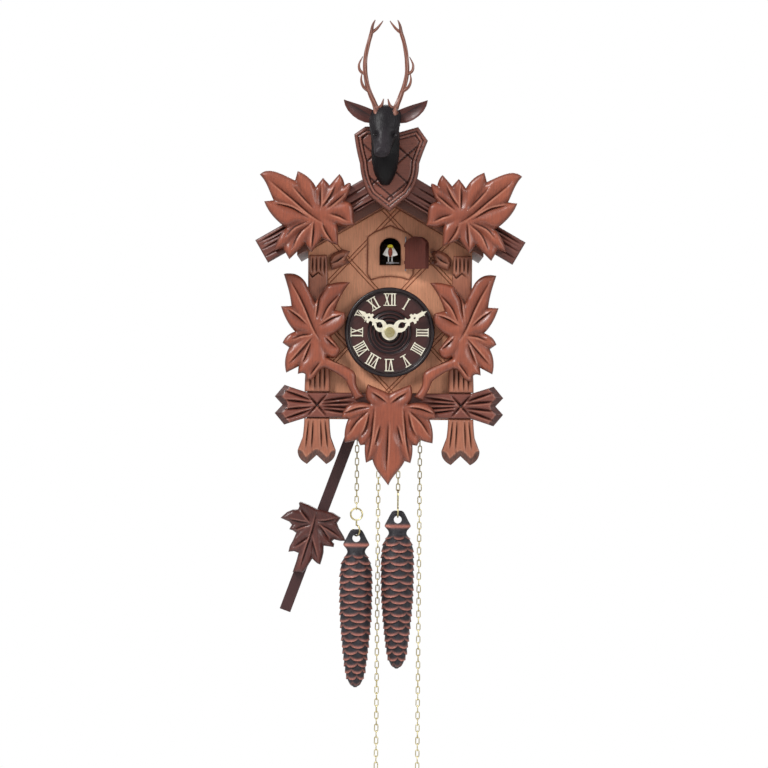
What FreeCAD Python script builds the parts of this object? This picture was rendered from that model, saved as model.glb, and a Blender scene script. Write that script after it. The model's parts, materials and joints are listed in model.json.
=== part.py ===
import FreeCAD, Part
import Sketcher
import math
import os
import re

# ---------------------------------------------------------------------------
# A carved one-day cuckoo clock.  Millimetres, +Z up, -Y towards the viewer.
# The origin is the hanging hole in the back rail; the wall is the plane y = 0.
# ---------------------------------------------------------------------------

SIZES = {
    # case
    "case_width": 128.0,
    "case_depth": 92.0,
    "case_floor_z": -148.0,
    "ridge_z": 20.0,
    "roof_angle": 30.0,
    "front_board": 7.0,
    "side_board": 6.0,
    "floor_board": 6.0,
    "back_board": 6.0,
    "door_axle_radius": 1.2,
    "chain_slot": 7.0,
    "swing_slot_width": 68.0,
    "swing_slot_depth": 10.0,
    "roof_board": 8.0,
    "roof_front_overhang": 23.0,
    "roof_half_span": 72.0,
    "hang_hole_radius": 4.0,
    "rail_bottom_z": -31.0,
    "seat_gap": 0.3,
    "running_gap": 0.05,
    # doorway and its door
    "doorway_width": 16.4,
    "doorway_top_z": -6.0,
    "doorway_bottom_z": -27.3,
    "door_board": 4.0,
    "door_lap_side": 1.4,
    "door_lap_low": 3.2,
    "door_pin_radius": 0.6,
    "door_pin_x": 12.0,
    "door_pin_stand_off": 2.5,
    "door_open_angle": 140.0,
    "bird_travel": 24.0,
    # applied carvings
    "post_board": 6.0,
    "post_centre_x": 56.0,
    "lap_width": 20.6,
    "bar_width": 20.5,
    "bar_centre_z": -137.0,
    "side_leaf_board": 9.0,
    "bottom_leaf_board": 9.0,
    "log_board": 10.0,
    "log_width": 19.6,
    "log_half_span": 104.0,
    "log_lift": 7.0,
    "top_leaf_board": 10.0,
    "shield_board": 8.0,
    "stag_x": -4.5,
    "stag_brow_rise": 55.0,
    # dial and hands
    "dial_radius": 35.0,
    "dial_centre_z": -80.0,
    "dial_board": 9.0,
    "dial_rim_height": 3.0,
    "numeral_ring_radius": 25.5,
    "numeral_height": 9.7,
    "numeral_board": 0.8,
    "arbor_hole_radius": 6.0,
    "minute_arbor_radius": 1.2,
    "hour_pipe_radius": 2.4,
    "hand_board": 0.8,
    "hand_stand_off": 1.0,
    "hand_spacing": 1.2,
    "hand_nut_board": 2.0,
    "hand_nut_radius": 4.0,
    "hour_hand_length": 29.7,
    "minute_hand_length": 33.5,
    "hour_hand_angle": 305.0,
    "minute_hand_angle": 60.0,
    # movement
    "plate_width": 72.0,
    "plate_top_z": -50.0,
    "plate_bottom_z": -124.0,
    "plate_board": 1.5,
    "pillar_radius": 2.2,
    "front_plate_y": -76.5,
    "back_plate_y": -50.0,
    "arbor_radius": 1.0,
    "train_x": 16.3,
    "chain_clearance": 0.35,
    "train_z": -95.0,
    "train_y": -65.0,
    "chain_radius": 8.5,
    "wheel_board": 1.5,
    "great_module": 0.38,
    "great_teeth": 72.0,
    "pinion_teeth": 12.0,
    "escape_radius": 7.6,
    "motion_module": 0.5,
    "minute_wheel_teeth": 36.0,
    "hour_pinion_teeth": 10.0,
    "hour_wheel_teeth": 40.0,
    # chains and weights
    "link_pitch": 5.0,
    "link_width": 3.5,
    "link_wire": 0.7,
    "left_links": 25.0,
    "right_links": 22.0,
    "tail_links": 68.0,
    "hook_ring_radius": 4.6,
    "hook_wire_radius": 0.65,
    "cone_length": 118.0,
    "cone_radius": 13.5,
    "eye_radius": 10.2,
    "eye_board": 4.4,
    "eye_hole_radius": 3.1,
    "hook_loop_radius": 4.2,
    "tail_ring_radius": 4.2,
    "tail_ring_wire": 0.6,
    # pendulum
    "pendulum_y": -40.0,
    "pendulum_lean": 20.2,
    "rod_top": 30.0,
    "rod_length": 206.0,
    "rod_width": 9.0,
    "rod_board": 2.4,
    "bob_board": 8.0,
    "bob_centre": 160.0,
    # sound
    "whistle_width": 15.0,
    "whistle_depth": 18.0,
    "whistle_height": 92.0,
    "bellows_height": 12.0,
    "gong_wire_radius": 1.0,
    "gong_pitch": 5.0,
    "gong_y": -24.0,
    "hammer_stud_radius": 1.2,
    "hammer_stem": 24.0,
}

doc = FreeCAD.newDocument("cuckoo_clock")
sheet = doc.addObject("Spreadsheet::Sheet", "sizes")
for row, (alias, number) in enumerate(SIZES.items(), start=1):
    sheet.set("A%d" % row, alias)
    sheet.set("B%d" % row, str(number))
    sheet.setAlias("B%d" % row, alias)
doc.recompute()

NODES = []
FORWARD = FreeCAD.Rotation(FreeCAD.Vector(1, 0, 0), -90)
UPRIGHT = FreeCAD.Rotation()
ACROSS = FreeCAD.Rotation(FreeCAD.Vector(0, 1, 0), 90)


def val(alias):
    """The number in one cell of the sheet."""
    return float(sheet.get(alias))


def linked(formula):
    """Turn a formula in plain size names into one that reads the sheet."""
    def with_sheet(word):
        return "sizes." + word.group(0) if word.group(0) in SIZES else word.group(0)
    return re.sub(r"[a-z_]{2,}", with_sheet, formula)


def bind(thing, **formulas):
    """Bind properties; a double underscore stands for a dot."""
    for name, formula in formulas.items():
        thing.setExpression(name.replace("__", "."), linked(str(formula)))


def place(thing, x, y, z, turn=UPRIGHT):
    """Put a thing at a place given by formulas."""
    thing.Placement = FreeCAD.Placement(FreeCAD.Vector(0, 0, 0), turn)
    bind(thing, Placement__Base__x=x, Placement__Base__y=y, Placement__Base__z=z)
    return thing


def keep(thing, label):
    """Mark a finished sub-part; its label names its file."""
    thing.Label = label
    NODES.append(thing)
    return thing


def block(x, y, z, dx, dy, dz):
    """A box from its low corner and its three sizes, all formulas."""
    box = doc.addObject("Part::Box", "block")
    bind(box, Length=dx, Width=dy, Height=dz)
    return place(box, x, y, z)


def rod(x, y, z, radius, length, turn=UPRIGHT):
    """A cylinder from its start point along its turned axis."""
    cylinder = doc.addObject("Part::Cylinder", "rod")
    bind(cylinder, Radius=radius, Height=length)
    return place(cylinder, x, y, z, turn)


def fuse(*things):
    """One solid from several."""
    joined = doc.addObject("Part::MultiFuse", "joined")
    joined.Shapes = list(things)
    joined.Refine = True
    return joined


def cut(base, *tools):
    """The base with every tool taken away."""
    for tool in tools:
        trimmed = doc.addObject("Part::Cut", "trimmed")
        trimmed.Base = base
        trimmed.Tool = tool
        base = trimmed
    return base


def group(*things):
    """Several separate solids in one node."""
    bundle = doc.addObject("Part::Compound", "bundle")
    bundle.Links = list(things)
    return bundle


def origin_plane(body, role):
    """One of a body's own origin planes."""
    return next(f for f in body.Origin.OriginFeatures if f.Role == role)


def new_sketch(body, name, role="XZ_Plane"):
    sketch = body.newObject("Sketcher::SketchObject", name)
    sketch.AttachmentSupport = [(origin_plane(body, role), "")]
    sketch.MapMode = "FlatFace"
    return sketch


def polygon(sketch, corners):
    """A closed polygon whose corners are pairs of formulas bound to the sheet."""
    points = [FreeCAD.Vector(number(a), number(b), 0) for a, b in corners]
    count = len(points)
    for i in range(count):
        sketch.addGeometry(Part.LineSegment(points[i], points[(i + 1) % count]), False)
    for i in range(count):
        sketch.addConstraint(Sketcher.Constraint("Coincident", i, 2, (i + 1) % count, 1))
    for i, (a, b) in enumerate(corners):
        for kind, formula, value in (("DistanceX", a, points[i].x), ("DistanceY", b, points[i].y)):
            index = sketch.addConstraint(Sketcher.Constraint(kind, -1, 1, i, 1, value))
            sketch.setExpression("Constraints[%d]" % index, linked(formula))


def number(formula):
    """The present value of a formula in size names."""
    holder = doc.getObject("scratchpad") or doc.addObject("App::FeaturePython", "scratchpad")
    if not hasattr(holder, "value"):
        holder.addProperty("App::PropertyFloat", "value")
    holder.setExpression("value", linked(formula))
    holder.recompute()
    return holder.value


def outline(sketch, points):
    """A closed outline: corners, with any (x, z, 1) between them on a smooth curve."""
    run = [FreeCAD.Vector(points[0][0], points[0][1], 0)]
    for point in points[1:] + points[:1]:
        run.append(FreeCAD.Vector(point[0], point[1], 0))
        if len(point) == 2:
            if len(run) == 2:
                sketch.addGeometry(Part.LineSegment(run[0], run[1]), False)
            else:
                curve = Part.BSplineCurve()
                curve.interpolate(run)
                sketch.addGeometry(curve, False)
            run = run[-1:]


def pad(body, sketch, length):
    """Raise a sketch; a sketch in the XZ plane rises towards the viewer."""
    raised = body.newObject("PartDesign::Pad", "raised")
    raised.Profile = sketch
    bind(raised, Length=length)
    return raised


def pocket_through(body, sketch):
    """Cut a sketch through the whole board, both ways from its plane."""
    opening = body.newObject("PartDesign::Pocket", "opening")
    opening.Profile = sketch
    opening.Type = "ThroughAll"
    opening.Midplane = True
    return opening


def board(label, corners, x, back_y, z, thick):
    """A flat board cut to a bound polygon, its back face at back_y."""
    body = doc.addObject("PartDesign::Body", label)
    sketch = new_sketch(body, "cut_line")
    polygon(sketch, corners)
    pad(body, sketch, thick)
    place(body, x, back_y, z)
    return body


def carving(label, points, x, back_y, z, thick, side=1):
    """A fretted board, its outline flipped left to right for side -1."""
    body = doc.addObject("PartDesign::Body", label)
    sketch = new_sketch(body, "fret_line")
    outline(sketch, [(side * p[0],) + tuple(p[1:]) for p in points])
    pad(body, sketch, thick)
    place(body, x, back_y, z)
    return body


SIDES = (("left", -1), ("right", 1))

# ---------------------------------------------------------------------------
# Case
# ---------------------------------------------------------------------------

ROOF_DROP = "tan(roof_angle * 1deg)"
EAVE = "(ridge_z - case_width / 2 * %s)" % ROOF_DROP
INNER_X = "(case_width / 2 - side_board)"
INNER_EAVE = "(ridge_z - %s * %s)" % (INNER_X, ROOF_DROP)
FRONT_BACK_Y = "(-case_depth + front_board)"
PIVOT_X = "(case_width / 2 - side_board - back_board / 2 - seat_gap)"
FLOOR_TOP = "(case_floor_z + floor_board)"
TRAIN_X = "max(train_x; chain_radius + (cone_radius + link_width / 2 + chain_clearance) / 2)"


def make_front_panel():
    """The gabled front board with the bird's arched doorway and the arbor hole."""
    body = board("front_panel", [
        ("-case_width / 2", "case_floor_z"), ("case_width / 2", "case_floor_z"),
        ("case_width / 2", EAVE), ("0", "ridge_z"), ("-case_width / 2", EAVE)],
        "0", FRONT_BACK_Y, "0", "front_board")
    doorway = new_sketch(body, "doorway")
    half = val("doorway_width") / 2
    spring = val("doorway_top_z") - half
    low = val("doorway_bottom_z")
    low_left = FreeCAD.Vector(-half, low, 0)
    low_right = FreeCAD.Vector(half, low, 0)
    high_left = FreeCAD.Vector(-half, spring, 0)
    high_right = FreeCAD.Vector(half, spring, 0)
    doorway.addGeometry(Part.LineSegment(low_left, low_right), False)
    doorway.addGeometry(Part.LineSegment(low_right, high_right), False)
    arch = Part.Circle(FreeCAD.Vector(0, spring, 0), FreeCAD.Vector(0, 0, 1), half)
    doorway.addGeometry(Part.ArcOfCircle(arch, 0, math.pi), False)
    doorway.addGeometry(Part.LineSegment(high_left, low_left), False)
    for first, first_end, second, second_end in ((0, 2, 1, 1), (1, 2, 2, 1), (2, 2, 3, 1), (3, 2, 0, 1)):
        doorway.addConstraint(Sketcher.Constraint("Coincident", first, first_end, second, second_end))
    width = doorway.addConstraint(Sketcher.Constraint("DistanceX", 0, 1, 0, 2, 2 * half))
    doorway.setExpression("Constraints[%d]" % width, linked("doorway_width"))
    pocket_through(body, doorway)
    arbor = new_sketch(body, "arbor_hole")
    centre = FreeCAD.Vector(0, val("dial_centre_z"), 0)
    arbor.addGeometry(Part.Circle(centre, FreeCAD.Vector(0, 0, 1), val("arbor_hole_radius")), False)
    pocket_through(body, arbor)
    return keep(body, "front_panel")


def make_sides_and_roof():
    """Two side boards bevelled under the roof, and two roof boards mitred at the ridge."""
    for name, side in SIDES:
        outer = "%d * case_width / 2" % side
        inner = "%d * %s" % (side, INNER_X)
        keep(board("side_panel_" + name, [
            (inner, "case_floor_z"), (outer, "case_floor_z"), (outer, EAVE), (inner, INNER_EAVE)],
            "0", "0", "0", "case_depth - front_board"), "side_panel_" + name)
        rise = "roof_board / cos(roof_angle * 1deg)"
        tip_x = "%d * roof_half_span" % side
        tip_z = "ridge_z - roof_half_span * %s" % ROOF_DROP
        keep(board("roof_panel_" + name, [
            ("0", "ridge_z"), (tip_x, tip_z), (tip_x, tip_z + " + " + rise), ("0", "ridge_z + " + rise)],
            "0", "0", "0", "case_depth + roof_front_overhang"), "roof_panel_" + name)


def make_floor_panel():
    """The floor board, slotted for four chain strands and the swinging pendulum."""
    floor = block("-" + INNER_X, FRONT_BACK_Y, "case_floor_z", "2 * " + INNER_X,
                  "case_depth - front_board", "floor_board")
    strands = ["%d * %s %s chain_radius" % (side, TRAIN_X, turn) for _, side in SIDES for turn in "-+"]
    slots = [block("%s - chain_slot / 2" % x, "train_y - chain_slot / 2", "case_floor_z - 1", "chain_slot",
                   "chain_slot", "floor_board + 2") for x in strands]
    slots.append(block("-swing_slot_width / 2", "pendulum_y - swing_slot_depth / 2", "case_floor_z - 1",
                       "swing_slot_width", "swing_slot_depth", "floor_board + 2"))
    socket = rod("-" + PIVOT_X, "-back_board / 2", "case_floor_z + floor_board - 4.5",
                 "door_axle_radius + running_gap", "5")
    return keep(cut(floor, *slots, socket), "floor_panel")


def make_back():
    """The fixed back rail with its hanging hole, and the pivoted back door below it."""
    rail = board("rail_blank", [
        ("-" + INNER_X, "rail_bottom_z"), (INNER_X, "rail_bottom_z"), (INNER_X, INNER_EAVE),
        ("0", "ridge_z"), ("-" + INNER_X, INNER_EAVE)], "0", "0", "0", "back_board")
    hole = rod("0", "-back_board - 1", "0", "hang_hole_radius", "back_board + 2", FORWARD)
    socket = rod("-" + PIVOT_X, "-back_board / 2", "rail_bottom_z - 1",
                 "door_axle_radius + running_gap", "5.5")
    keep(cut(rail, hole, socket), "back_rail")
    low = "%s + seat_gap" % FLOOR_TOP
    tall = "rail_bottom_z - %s - 2 * seat_gap" % FLOOR_TOP
    leaf = block("-" + PIVOT_X, "-back_board", low, "2 * %s + back_board / 2" % PIVOT_X, "back_board", tall)
    edge = rod("-" + PIVOT_X, "-back_board / 2", low, "back_board / 2", tall)
    grip = rod("%s - 8" % PIVOT_X, "-back_board - 1", "(rail_bottom_z + case_floor_z) / 2", "5",
               "back_board + 2", FORWARD)
    axle = rod("-" + PIVOT_X, "-back_board / 2", "%s - 4" % FLOOR_TOP, "door_axle_radius",
               "rail_bottom_z - %s + 8" % FLOOR_TOP)
    keep(cut(fuse(leaf, edge, axle), grip), "back_door")


# ---------------------------------------------------------------------------
# Applied carvings.  Corners are (x, z); a third value marks a point on a curve.
# ---------------------------------------------------------------------------

SIDE_LEAF = [
    (-25.5, 44.5), (-18.5, 45, 1), (-12, 42, 1), (-8.5, 38), (-1, 23), (7.5, 36), (17, 38.5, 1), (26, 38.5),
    (18, 26, 1), (14.5, 17), (22, 15), (21.5, 6, 1), (16.5, 0.5, 1), (11.5, -3.5), (19, -13.5),
    (13.5, -20.5, 1), (9, -19.5), (16, -23.5, 1), (23, -26.5, 1), (29, -30), (31, -34, 1), (31.5, -40, 1),
    (34, -45.5, 1), (37.5, -50), (31, -53), (27.5, -47, 1), (23.5, -38), (15.5, -32, 1), (7, -28),
    (3, -30, 1), (-1.5, -36, 1), (-7.5, -37.5), (-8.5, -33, 1), (-14, -33), (-13.5, -27), (-23, -32),
    (-24, -24, 1), (-21, -12.5), (-26, -9), (-23.5, -4.5, 1), (-16.5, 0), (-22, 7, 1), (-25.5, 14, 1),
    (-27.5, 19.5), (-19.5, 20), (-20.5, 27, 1), (-22.5, 35, 1)]

TOP_LEAF = [
    (-43.5, 29), (-37, 32, 1), (-30.5, 31, 1), (-22, 27.5, 1), (-16.5, 25), (-14.5, 32), (-6.5, 27.5, 1),
    (-0.5, 20), (5, 27), (10, 21.5), (17.5, 30), (20, 26.5, 1), (21.5, 21.5), (26, 23, 1), (25, 16.5, 1),
    (22, 9.5), (28, 4, 1), (28.5, -2, 1), (30, -9), (23, -10, 1), (16.5, -9), (17, -24.5), (10, -22, 1),
    (4.5, -19), (-3.5, -30), (-8.5, -23.5), (-20.5, -35.5), (-25.5, -27), (-31.5, -29), (-28, -18, 1),
    (-23, -11.5), (-29.5, -6.5, 1), (-36.5, 1.5, 1), (-40, 8.5), (-33, 9.5), (-35, 14, 1), (-41, 26, 1)]

BOTTOM_LEAF = [
    (0, 9.5), (8, 13, 1), (16.5, 16.5), (18, 11, 1), (17.5, 6, 1), (15, 1.5), (22, 2.5, 1), (30.5, 1),
    (35.5, -5, 1), (36.5, -10), (31.5, -10.5), (34, -19, 1), (34, -29), (29, -28, 1), (24.5, -26.5),
    (22, -31), (18.5, -30.5), (18.5, -37, 1), (17, -44.5), (12.5, -43), (8, -50, 1), (4, -55, 1), (0, -62),
    (-5, -55.5, 1), (-9, -50, 1), (-12.5, -42), (-17.5, -44.5), (-18.5, -37, 1), (-18.5, -30.5), (-22, -31),
    (-24.5, -26.5), (-29, -28, 1), (-34, -29), (-34, -19, 1), (-31.5, -10.5), (-36.5, -10), (-35.5, -5, 1),
    (-30.5, 1), (-22, 2.5, 1), (-15, 1.5), (-17.5, 6, 1), (-18, 11, 1), (-16.5, 16.5), (-8, 13, 1)]

SHIELD = [
    (-28.5, 34), (-20, 40), (-10, 38.5, 1), (0, 35.5, 1), (10, 37, 1), (20.5, 40), (28, 29.5), (25, 22, 1),
    (21.5, 12), (20, 0, 1), (13.5, -13), (6, -19, 1), (-1, -25), (-9, -19, 1), (-16.5, -13), (-22, 0, 1),
    (-24, 12), (-26.5, 22, 1)]

BOB = [
    (-15.5, 30.5), (-9.5, 15.5), (0, 22.5, 1), (7.5, 25), (15, 19, 1), (22, 21), (19, 14, 1), (17, 9),
    (28.5, 6.5), (20, 0.5, 1), (15, -2.5), (17, -9.5), (13, -11), (9.5, -29), (3.5, -22, 1), (0.5, -19.5),
    (-5.5, -28), (-14.5, -33), (-12.5, -23, 1), (-13, -16), (-21, -20), (-21, -12, 1), (-18.5, -3),
    (-26, 0.5), (-20, 6.5),
    (-31.5, 12.5), (-22, 14, 1), (-15, 14)]

POST = [
    (-6.7, 60), (6.7, 60), (8, 20, 1), (7.5, -20), (9.8, -50, 1), (10, -72, 1), (11, -82), (14.8, -92),
    (14.6, -95, 1), (7.5, -103), (0, -96), (-7.5, -103), (-14.6, -95, 1), (-14.8, -92), (-11, -82),
    (-10, -72, 1), (-9.8, -50, 1), (-9, -20), (-8.5, 20, 1)]

BAR_END = [(8, 9.8), (25.5, 15.5), (33, 6.5), (27, 0), (33, -6.5), (25.5, -15.5), (8, -9.8)]


def make_posts_and_bar():
    """Two side posts with forked feet, and the forked cross bar half-lapped into them."""
    lap = "post_board / 2"
    for name, side in SIDES:
        centre = "%d * post_centre_x" % side
        blank = carving("post_blank_" + name, POST, centre, "-case_depth", "dial_centre_z", "post_board",
                        side)
        notch = block(centre + " - lap_width / 2", "-case_depth - post_board - 1",
                      "bar_centre_z - bar_width / 2 - 0.1", "lap_width", lap + " + 1", "bar_width + 0.2")
        keep(cut(blank, notch), "post_" + name)
    reach = val("post_centre_x")
    right = [(reach + a, b) for a, b in BAR_END]
    left = [(-reach - a, b) for a, b in reversed(BAR_END)]
    bar = carving("bar_blank", right + left, "0", "-case_depth", "bar_centre_z", "post_board")
    laps = [block("%d * post_centre_x - lap_width / 2" % side, "-case_depth - " + lap,
                  "bar_centre_z - bar_width", "lap_width", lap + " + 1", "2 * bar_width")
            for _, side in SIDES]
    keep(cut(bar, *laps), "cross_bar")


def make_leaves():
    """The fretted leaves in front of the posts, the bar and the roof branches."""
    for name, side in SIDES:
        keep(carving("side_leaf_" + name, SIDE_LEAF, "%d * (post_centre_x + 1)" % side,
                     "-case_depth - post_board", "dial_centre_z", "side_leaf_board", -side),
             "side_leaf_" + name)
        keep(carving("top_leaf_" + name, TOP_LEAF, "%d * (post_centre_x + 1)" % side,
                     "-case_depth - roof_front_overhang - log_board", "ridge_z - 9.5",
                     "top_leaf_board", -side), "top_leaf_" + name)
    keep(carving("bottom_leaf", BOTTOM_LEAF, "0", "-case_depth - post_board", "bar_centre_z",
                 "bottom_leaf_board"), "bottom_leaf")
    keep(carving("shield", SHIELD, "0", "-case_depth - roof_front_overhang - log_board", "ridge_z + 17",
                 "shield_board"), "shield")


def make_logs():
    """Two cut branches along the gable, mitred behind the shield."""
    rise = "log_width / cos(roof_angle * 1deg)"
    for name, side in SIDES:
        low = "(ridge_z + log_lift)"
        end_x = "%d * (log_half_span - log_width * sin(roof_angle * 1deg))" % side
        tip_x = "%d * log_half_span" % side
        corners = [("0", low),
                   (end_x, low + " - (log_half_span - log_width * sin(roof_angle * 1deg)) * " + ROOF_DROP),
                   (tip_x, low + " - log_half_span * %s + %s" % (ROOF_DROP, rise)),
                   ("0", low + " + " + rise)]
        keep(board("branch_" + name, corners, "0", "-case_depth - roof_front_overhang", "0", "log_board"),
             "branch_" + name)


# ---------------------------------------------------------------------------
# Stag head
# ---------------------------------------------------------------------------

def stag_point(x, y, z):
    """A point from the centre of the brow: y forward of the shield's face is negative."""
    face = -(val("case_depth") + val("roof_front_overhang") + val("log_board") + val("shield_board"))
    return FreeCAD.Vector(val("stag_x") + x, face + y, val("ridge_z") + val("stag_brow_rise") + z)


def taper(start, end, start_radius, end_radius):
    """A tapered limb with a round joint at its end."""
    run = end.sub(start)
    if abs(start_radius - end_radius) < 1e-6:
        limb = Part.makeCylinder(start_radius, run.Length, start, run)
    else:
        limb = Part.makeCone(start_radius, end_radius, run.Length, start, run)
    return limb.fuse(Part.makeSphere(1.03 * end_radius, end))


def feature(label, shape):
    """A sub-part whose shape is made with Part's own functions."""
    thing = doc.addObject("Part::Feature", label)
    thing.Shape = shape
    return keep(thing, label)


def make_stag():
    """The stag's head and neck, its ears and its antlers."""
    neck = Part.makeCone(7.0, 10.5, 24, stag_point(0, 0, -36), FreeCAD.Vector(0, -0.55, 1))
    head = taper(stag_point(0, -12, 0), stag_point(0, -25, -17), 10.5, 6.5)
    crown = Part.makeSphere(10.4, stag_point(0, -8, 2))
    solid = neck.fuse([head, crown]).removeSplitter()
    front = Part.makeBox(80, 80, 120, stag_point(-40, -80, -80))
    feature("stag_head", solid.common(front))
    ears = []
    for side in (-1, 1):
        base = stag_point(side * 11.2, -9, 3)
        tip = stag_point(side * 28.5, -11, 16.5)
        run = tip.sub(base)
        leaf = Part.makeCone(2.2, 4.6, run.Length * 0.45, base, run)
        outer = Part.makeCone(4.6, 0.8, run.Length * 0.55, base + run * 0.45, run)
        ears.append(leaf.fuse(outer))
    feature("stag_ears", Part.makeCompound(ears))


ANTLER_BEAM = [(6.5, 0, 13.5, 1.9), (11, 0, 24, 1.8), (15.5, 0, 34, 1.7), (17, 0, 44, 1.7), (16, 0, 55, 1.7),
               (13.5, 0, 66, 1.5), (11.5, 0, 72, 1.4)]
ANTLER_TINES = [
    [(11.5, 0, 72, 1.3), (11, -1, 78, 1.0), (9, -1, 82.5, 0.5)],
    [(11.5, 0, 72, 1.3), (6.5, 1, 77.5, 0.9), (1.8, 1, 81.5, 0.45)],
    [(12, 0, 26, 1.3), (18, -2, 31.5, 1.0), (19, -3, 41.5, 0.5)],
    [(16.6, 0, 41, 1.3), (22.5, 1, 44.5, 1.0), (19, 1, 55, 0.5)],
    [(8.5, 0, 18, 1.3), (7, -6, 19, 1.0), (4.5, -9, 26, 0.5)]]


def make_antlers():
    """Each antler is a curved beam with tines, every limb tapering to the next."""
    antlers = []
    for _, side in SIDES:
        def limb_points(path):
            return [(stag_point(side * x, -9 + y, z), radius) for x, y, z, radius in path]
        limbs = [Part.makeSphere(2.4, limb_points(ANTLER_BEAM)[0][0])]
        for path in [ANTLER_BEAM] + ANTLER_TINES:
            points = limb_points(path)
            for (start, start_radius), (end, end_radius) in zip(points, points[1:]):
                limbs.append(taper(start, end, start_radius, end_radius))
        antlers.append(limbs[0].fuse(limbs[1:]).removeSplitter())
    feature("antlers", Part.makeCompound(antlers))


# ---------------------------------------------------------------------------
# Dial and hands
# ---------------------------------------------------------------------------

def lathe(label, profile, x, y, z):
    """A turned piece about the Y axis; profile is (radius, depth towards the viewer) formulas."""
    body = doc.addObject("PartDesign::Body", label)
    sketch = new_sketch(body, "profile", "XY_Plane")
    polygon(sketch, [(a, "-(%s)" % b) for a, b in profile])
    turned = body.newObject("PartDesign::Revolution", "turned")
    turned.Profile = sketch
    turned.ReferenceAxis = (sketch, ["V_Axis"])
    turned.Angle = 360
    place(body, x, y, z)
    return body


def make_dial():
    """The turned wooden dial with its proud rim and ringed centre."""
    hole = "hour_pipe_radius + 1"
    face = "(dial_board - dial_rim_height)"
    profile = [(hole, "0"), ("dial_radius", "0"), ("dial_radius", "dial_board - 1"),
               ("dial_radius - 1.4", "dial_board"), ("dial_radius - 2.8", "dial_board - 1"),
               ("dial_radius - 3.4", face), ("17.5", face),
               ("16.8", face + " - 1.2"), ("15.8", face + " - 1.2"), ("15", face), ("12", face + " + 0.4"),
               ("11.4", face + " - 0.8"), ("10.4", face + " - 0.8"), (hole, face + " + 0.4")]
    keep(lathe("dial", profile, "0", "-case_depth", "dial_centre_z"), "dial")


STROKES = {"I": 2.2, "V": 5.0, "X": 5.4}
HOURS = ["XII", "I", "II", "III", "IIII", "V", "VI", "VII", "VIII", "IX", "X", "XI"]


def slanted(x0, x1, width, tall, thick):
    """One stroke of a numeral, from the inner line to the outer line."""
    points = [FreeCAD.Vector(x0 - width / 2, 0, 0), FreeCAD.Vector(x0 + width / 2, 0, 0),
              FreeCAD.Vector(x1 + width / 2, 0, tall), FreeCAD.Vector(x1 - width / 2, 0, tall)]
    face = Part.Face(Part.makePolygon(points + points[:1]))
    return face.extrude(FreeCAD.Vector(0, -thick, 0))


def letter(sign, x, tall, thick, bold, fine):
    """The strokes of I, V or X centred at x."""
    if sign == "I":
        return [slanted(x, x, bold, tall, thick)]
    if sign == "V":
        return [slanted(x, x - 1.6, bold, tall, thick), slanted(x, x + 1.6, fine, tall, thick)]
    return [slanted(x + 1.6, x - 1.6, bold, tall, thick), slanted(x - 1.6, x + 1.6, fine, tall, thick)]


def make_numerals():
    """Twelve Roman numerals, each one solid with its serif bars, upright about the dial."""
    tall = val("numeral_height")
    thick = val("numeral_board")
    face_y = -(val("case_depth") + val("dial_board") - val("dial_rim_height"))
    solids = []
    for hour, word in enumerate(HOURS):
        squeeze = 0.8 if len(word) > 3 else 1.0
        total = sum(STROKES[sign] for sign in word) * squeeze
        x = -total / 2
        pieces = []
        for sign in word:
            x += STROKES[sign] * squeeze / 2
            pieces += letter(sign, x, tall, thick, 1.05 * squeeze, 0.6)
            x += STROKES[sign] * squeeze / 2
        for low in (0, tall - 0.7):
            pieces.append(Part.makeBox(total, thick, 0.7, FreeCAD.Vector(-total / 2, -thick, low)))
        numeral = pieces[0].fuse(pieces[1:]).removeSplitter()
        numeral.translate(FreeCAD.Vector(0, 0, val("numeral_ring_radius") - tall / 2))
        numeral.rotate(FreeCAD.Vector(0, 0, 0), FreeCAD.Vector(0, 1, 0), 30 * hour)
        numeral.translate(FreeCAD.Vector(0, face_y, val("dial_centre_z")))
        solids.append(numeral)
    feature("dial_numerals", Part.makeCompound(solids))


HOUR_HAND = [(3.2, 5.2), (3.4, 9, 1), (1.6, 12.5), (4.6, 15, 1), (6.2, 18.5, 1), (4.2, 21.5, 1), (1.6, 23),
             (2.2, 26, 1), (0, val("hour_hand_length"))]
HOUR_WINDOWS = [(2.2, 16.5, 1.0), (-2.2, 16.5, 1.0), (0, 19.5, 1.1), (0, 8.6, 1.2)]
MINUTE_HAND = [(2.6, 5.4), (2.8, 9, 1), (1.3, 12.5), (3.4, 15, 1), (4.4, 18.5, 1), (3, 21.8, 1), (1.3, 23.5),
               (2.2, 27, 1), (1.0, 30), (0, val("minute_hand_length"))]
MINUTE_WINDOWS = [(1.5, 16.5, 0.8), (-1.5, 16.5, 0.8), (0, 19.5, 0.9), (0, 8.6, 0.9)]


def hand_plate(points, hub_radius, windows, thick):
    """A fretted hand pointing up from its hub, its outline the same on both sides."""
    left = [(-p[0],) + tuple(p[1:]) for p in reversed(points[:-1])]
    run = []
    edges = []
    for point in points + left:
        run.append(FreeCAD.Vector(point[0], 0, point[1]))
        if len(point) == 2 and len(run) > 1:
            if len(run) == 2:
                edges.append(Part.LineSegment(run[0], run[1]).toShape())
            else:
                curve = Part.BSplineCurve()
                curve.interpolate(run)
                edges.append(curve.toShape())
            run = run[-1:]
    edges.append(Part.LineSegment(run[0], FreeCAD.Vector(points[0][0], 0, points[0][1])).toShape())
    blade = Part.Face(Part.Wire(edges)).extrude(FreeCAD.Vector(0, -thick, 0))
    hub = Part.makeCylinder(hub_radius, thick, FreeCAD.Vector(0, -thick, 0), FreeCAD.Vector(0, 1, 0))
    plate = blade.fuse(hub)
    for x, z, radius in windows:
        plate = plate.cut(Part.makeCylinder(radius, 3 * thick, FreeCAD.Vector(x, -2 * thick, z),
                                            FreeCAD.Vector(0, 1, 0)))
    return plate


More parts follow.
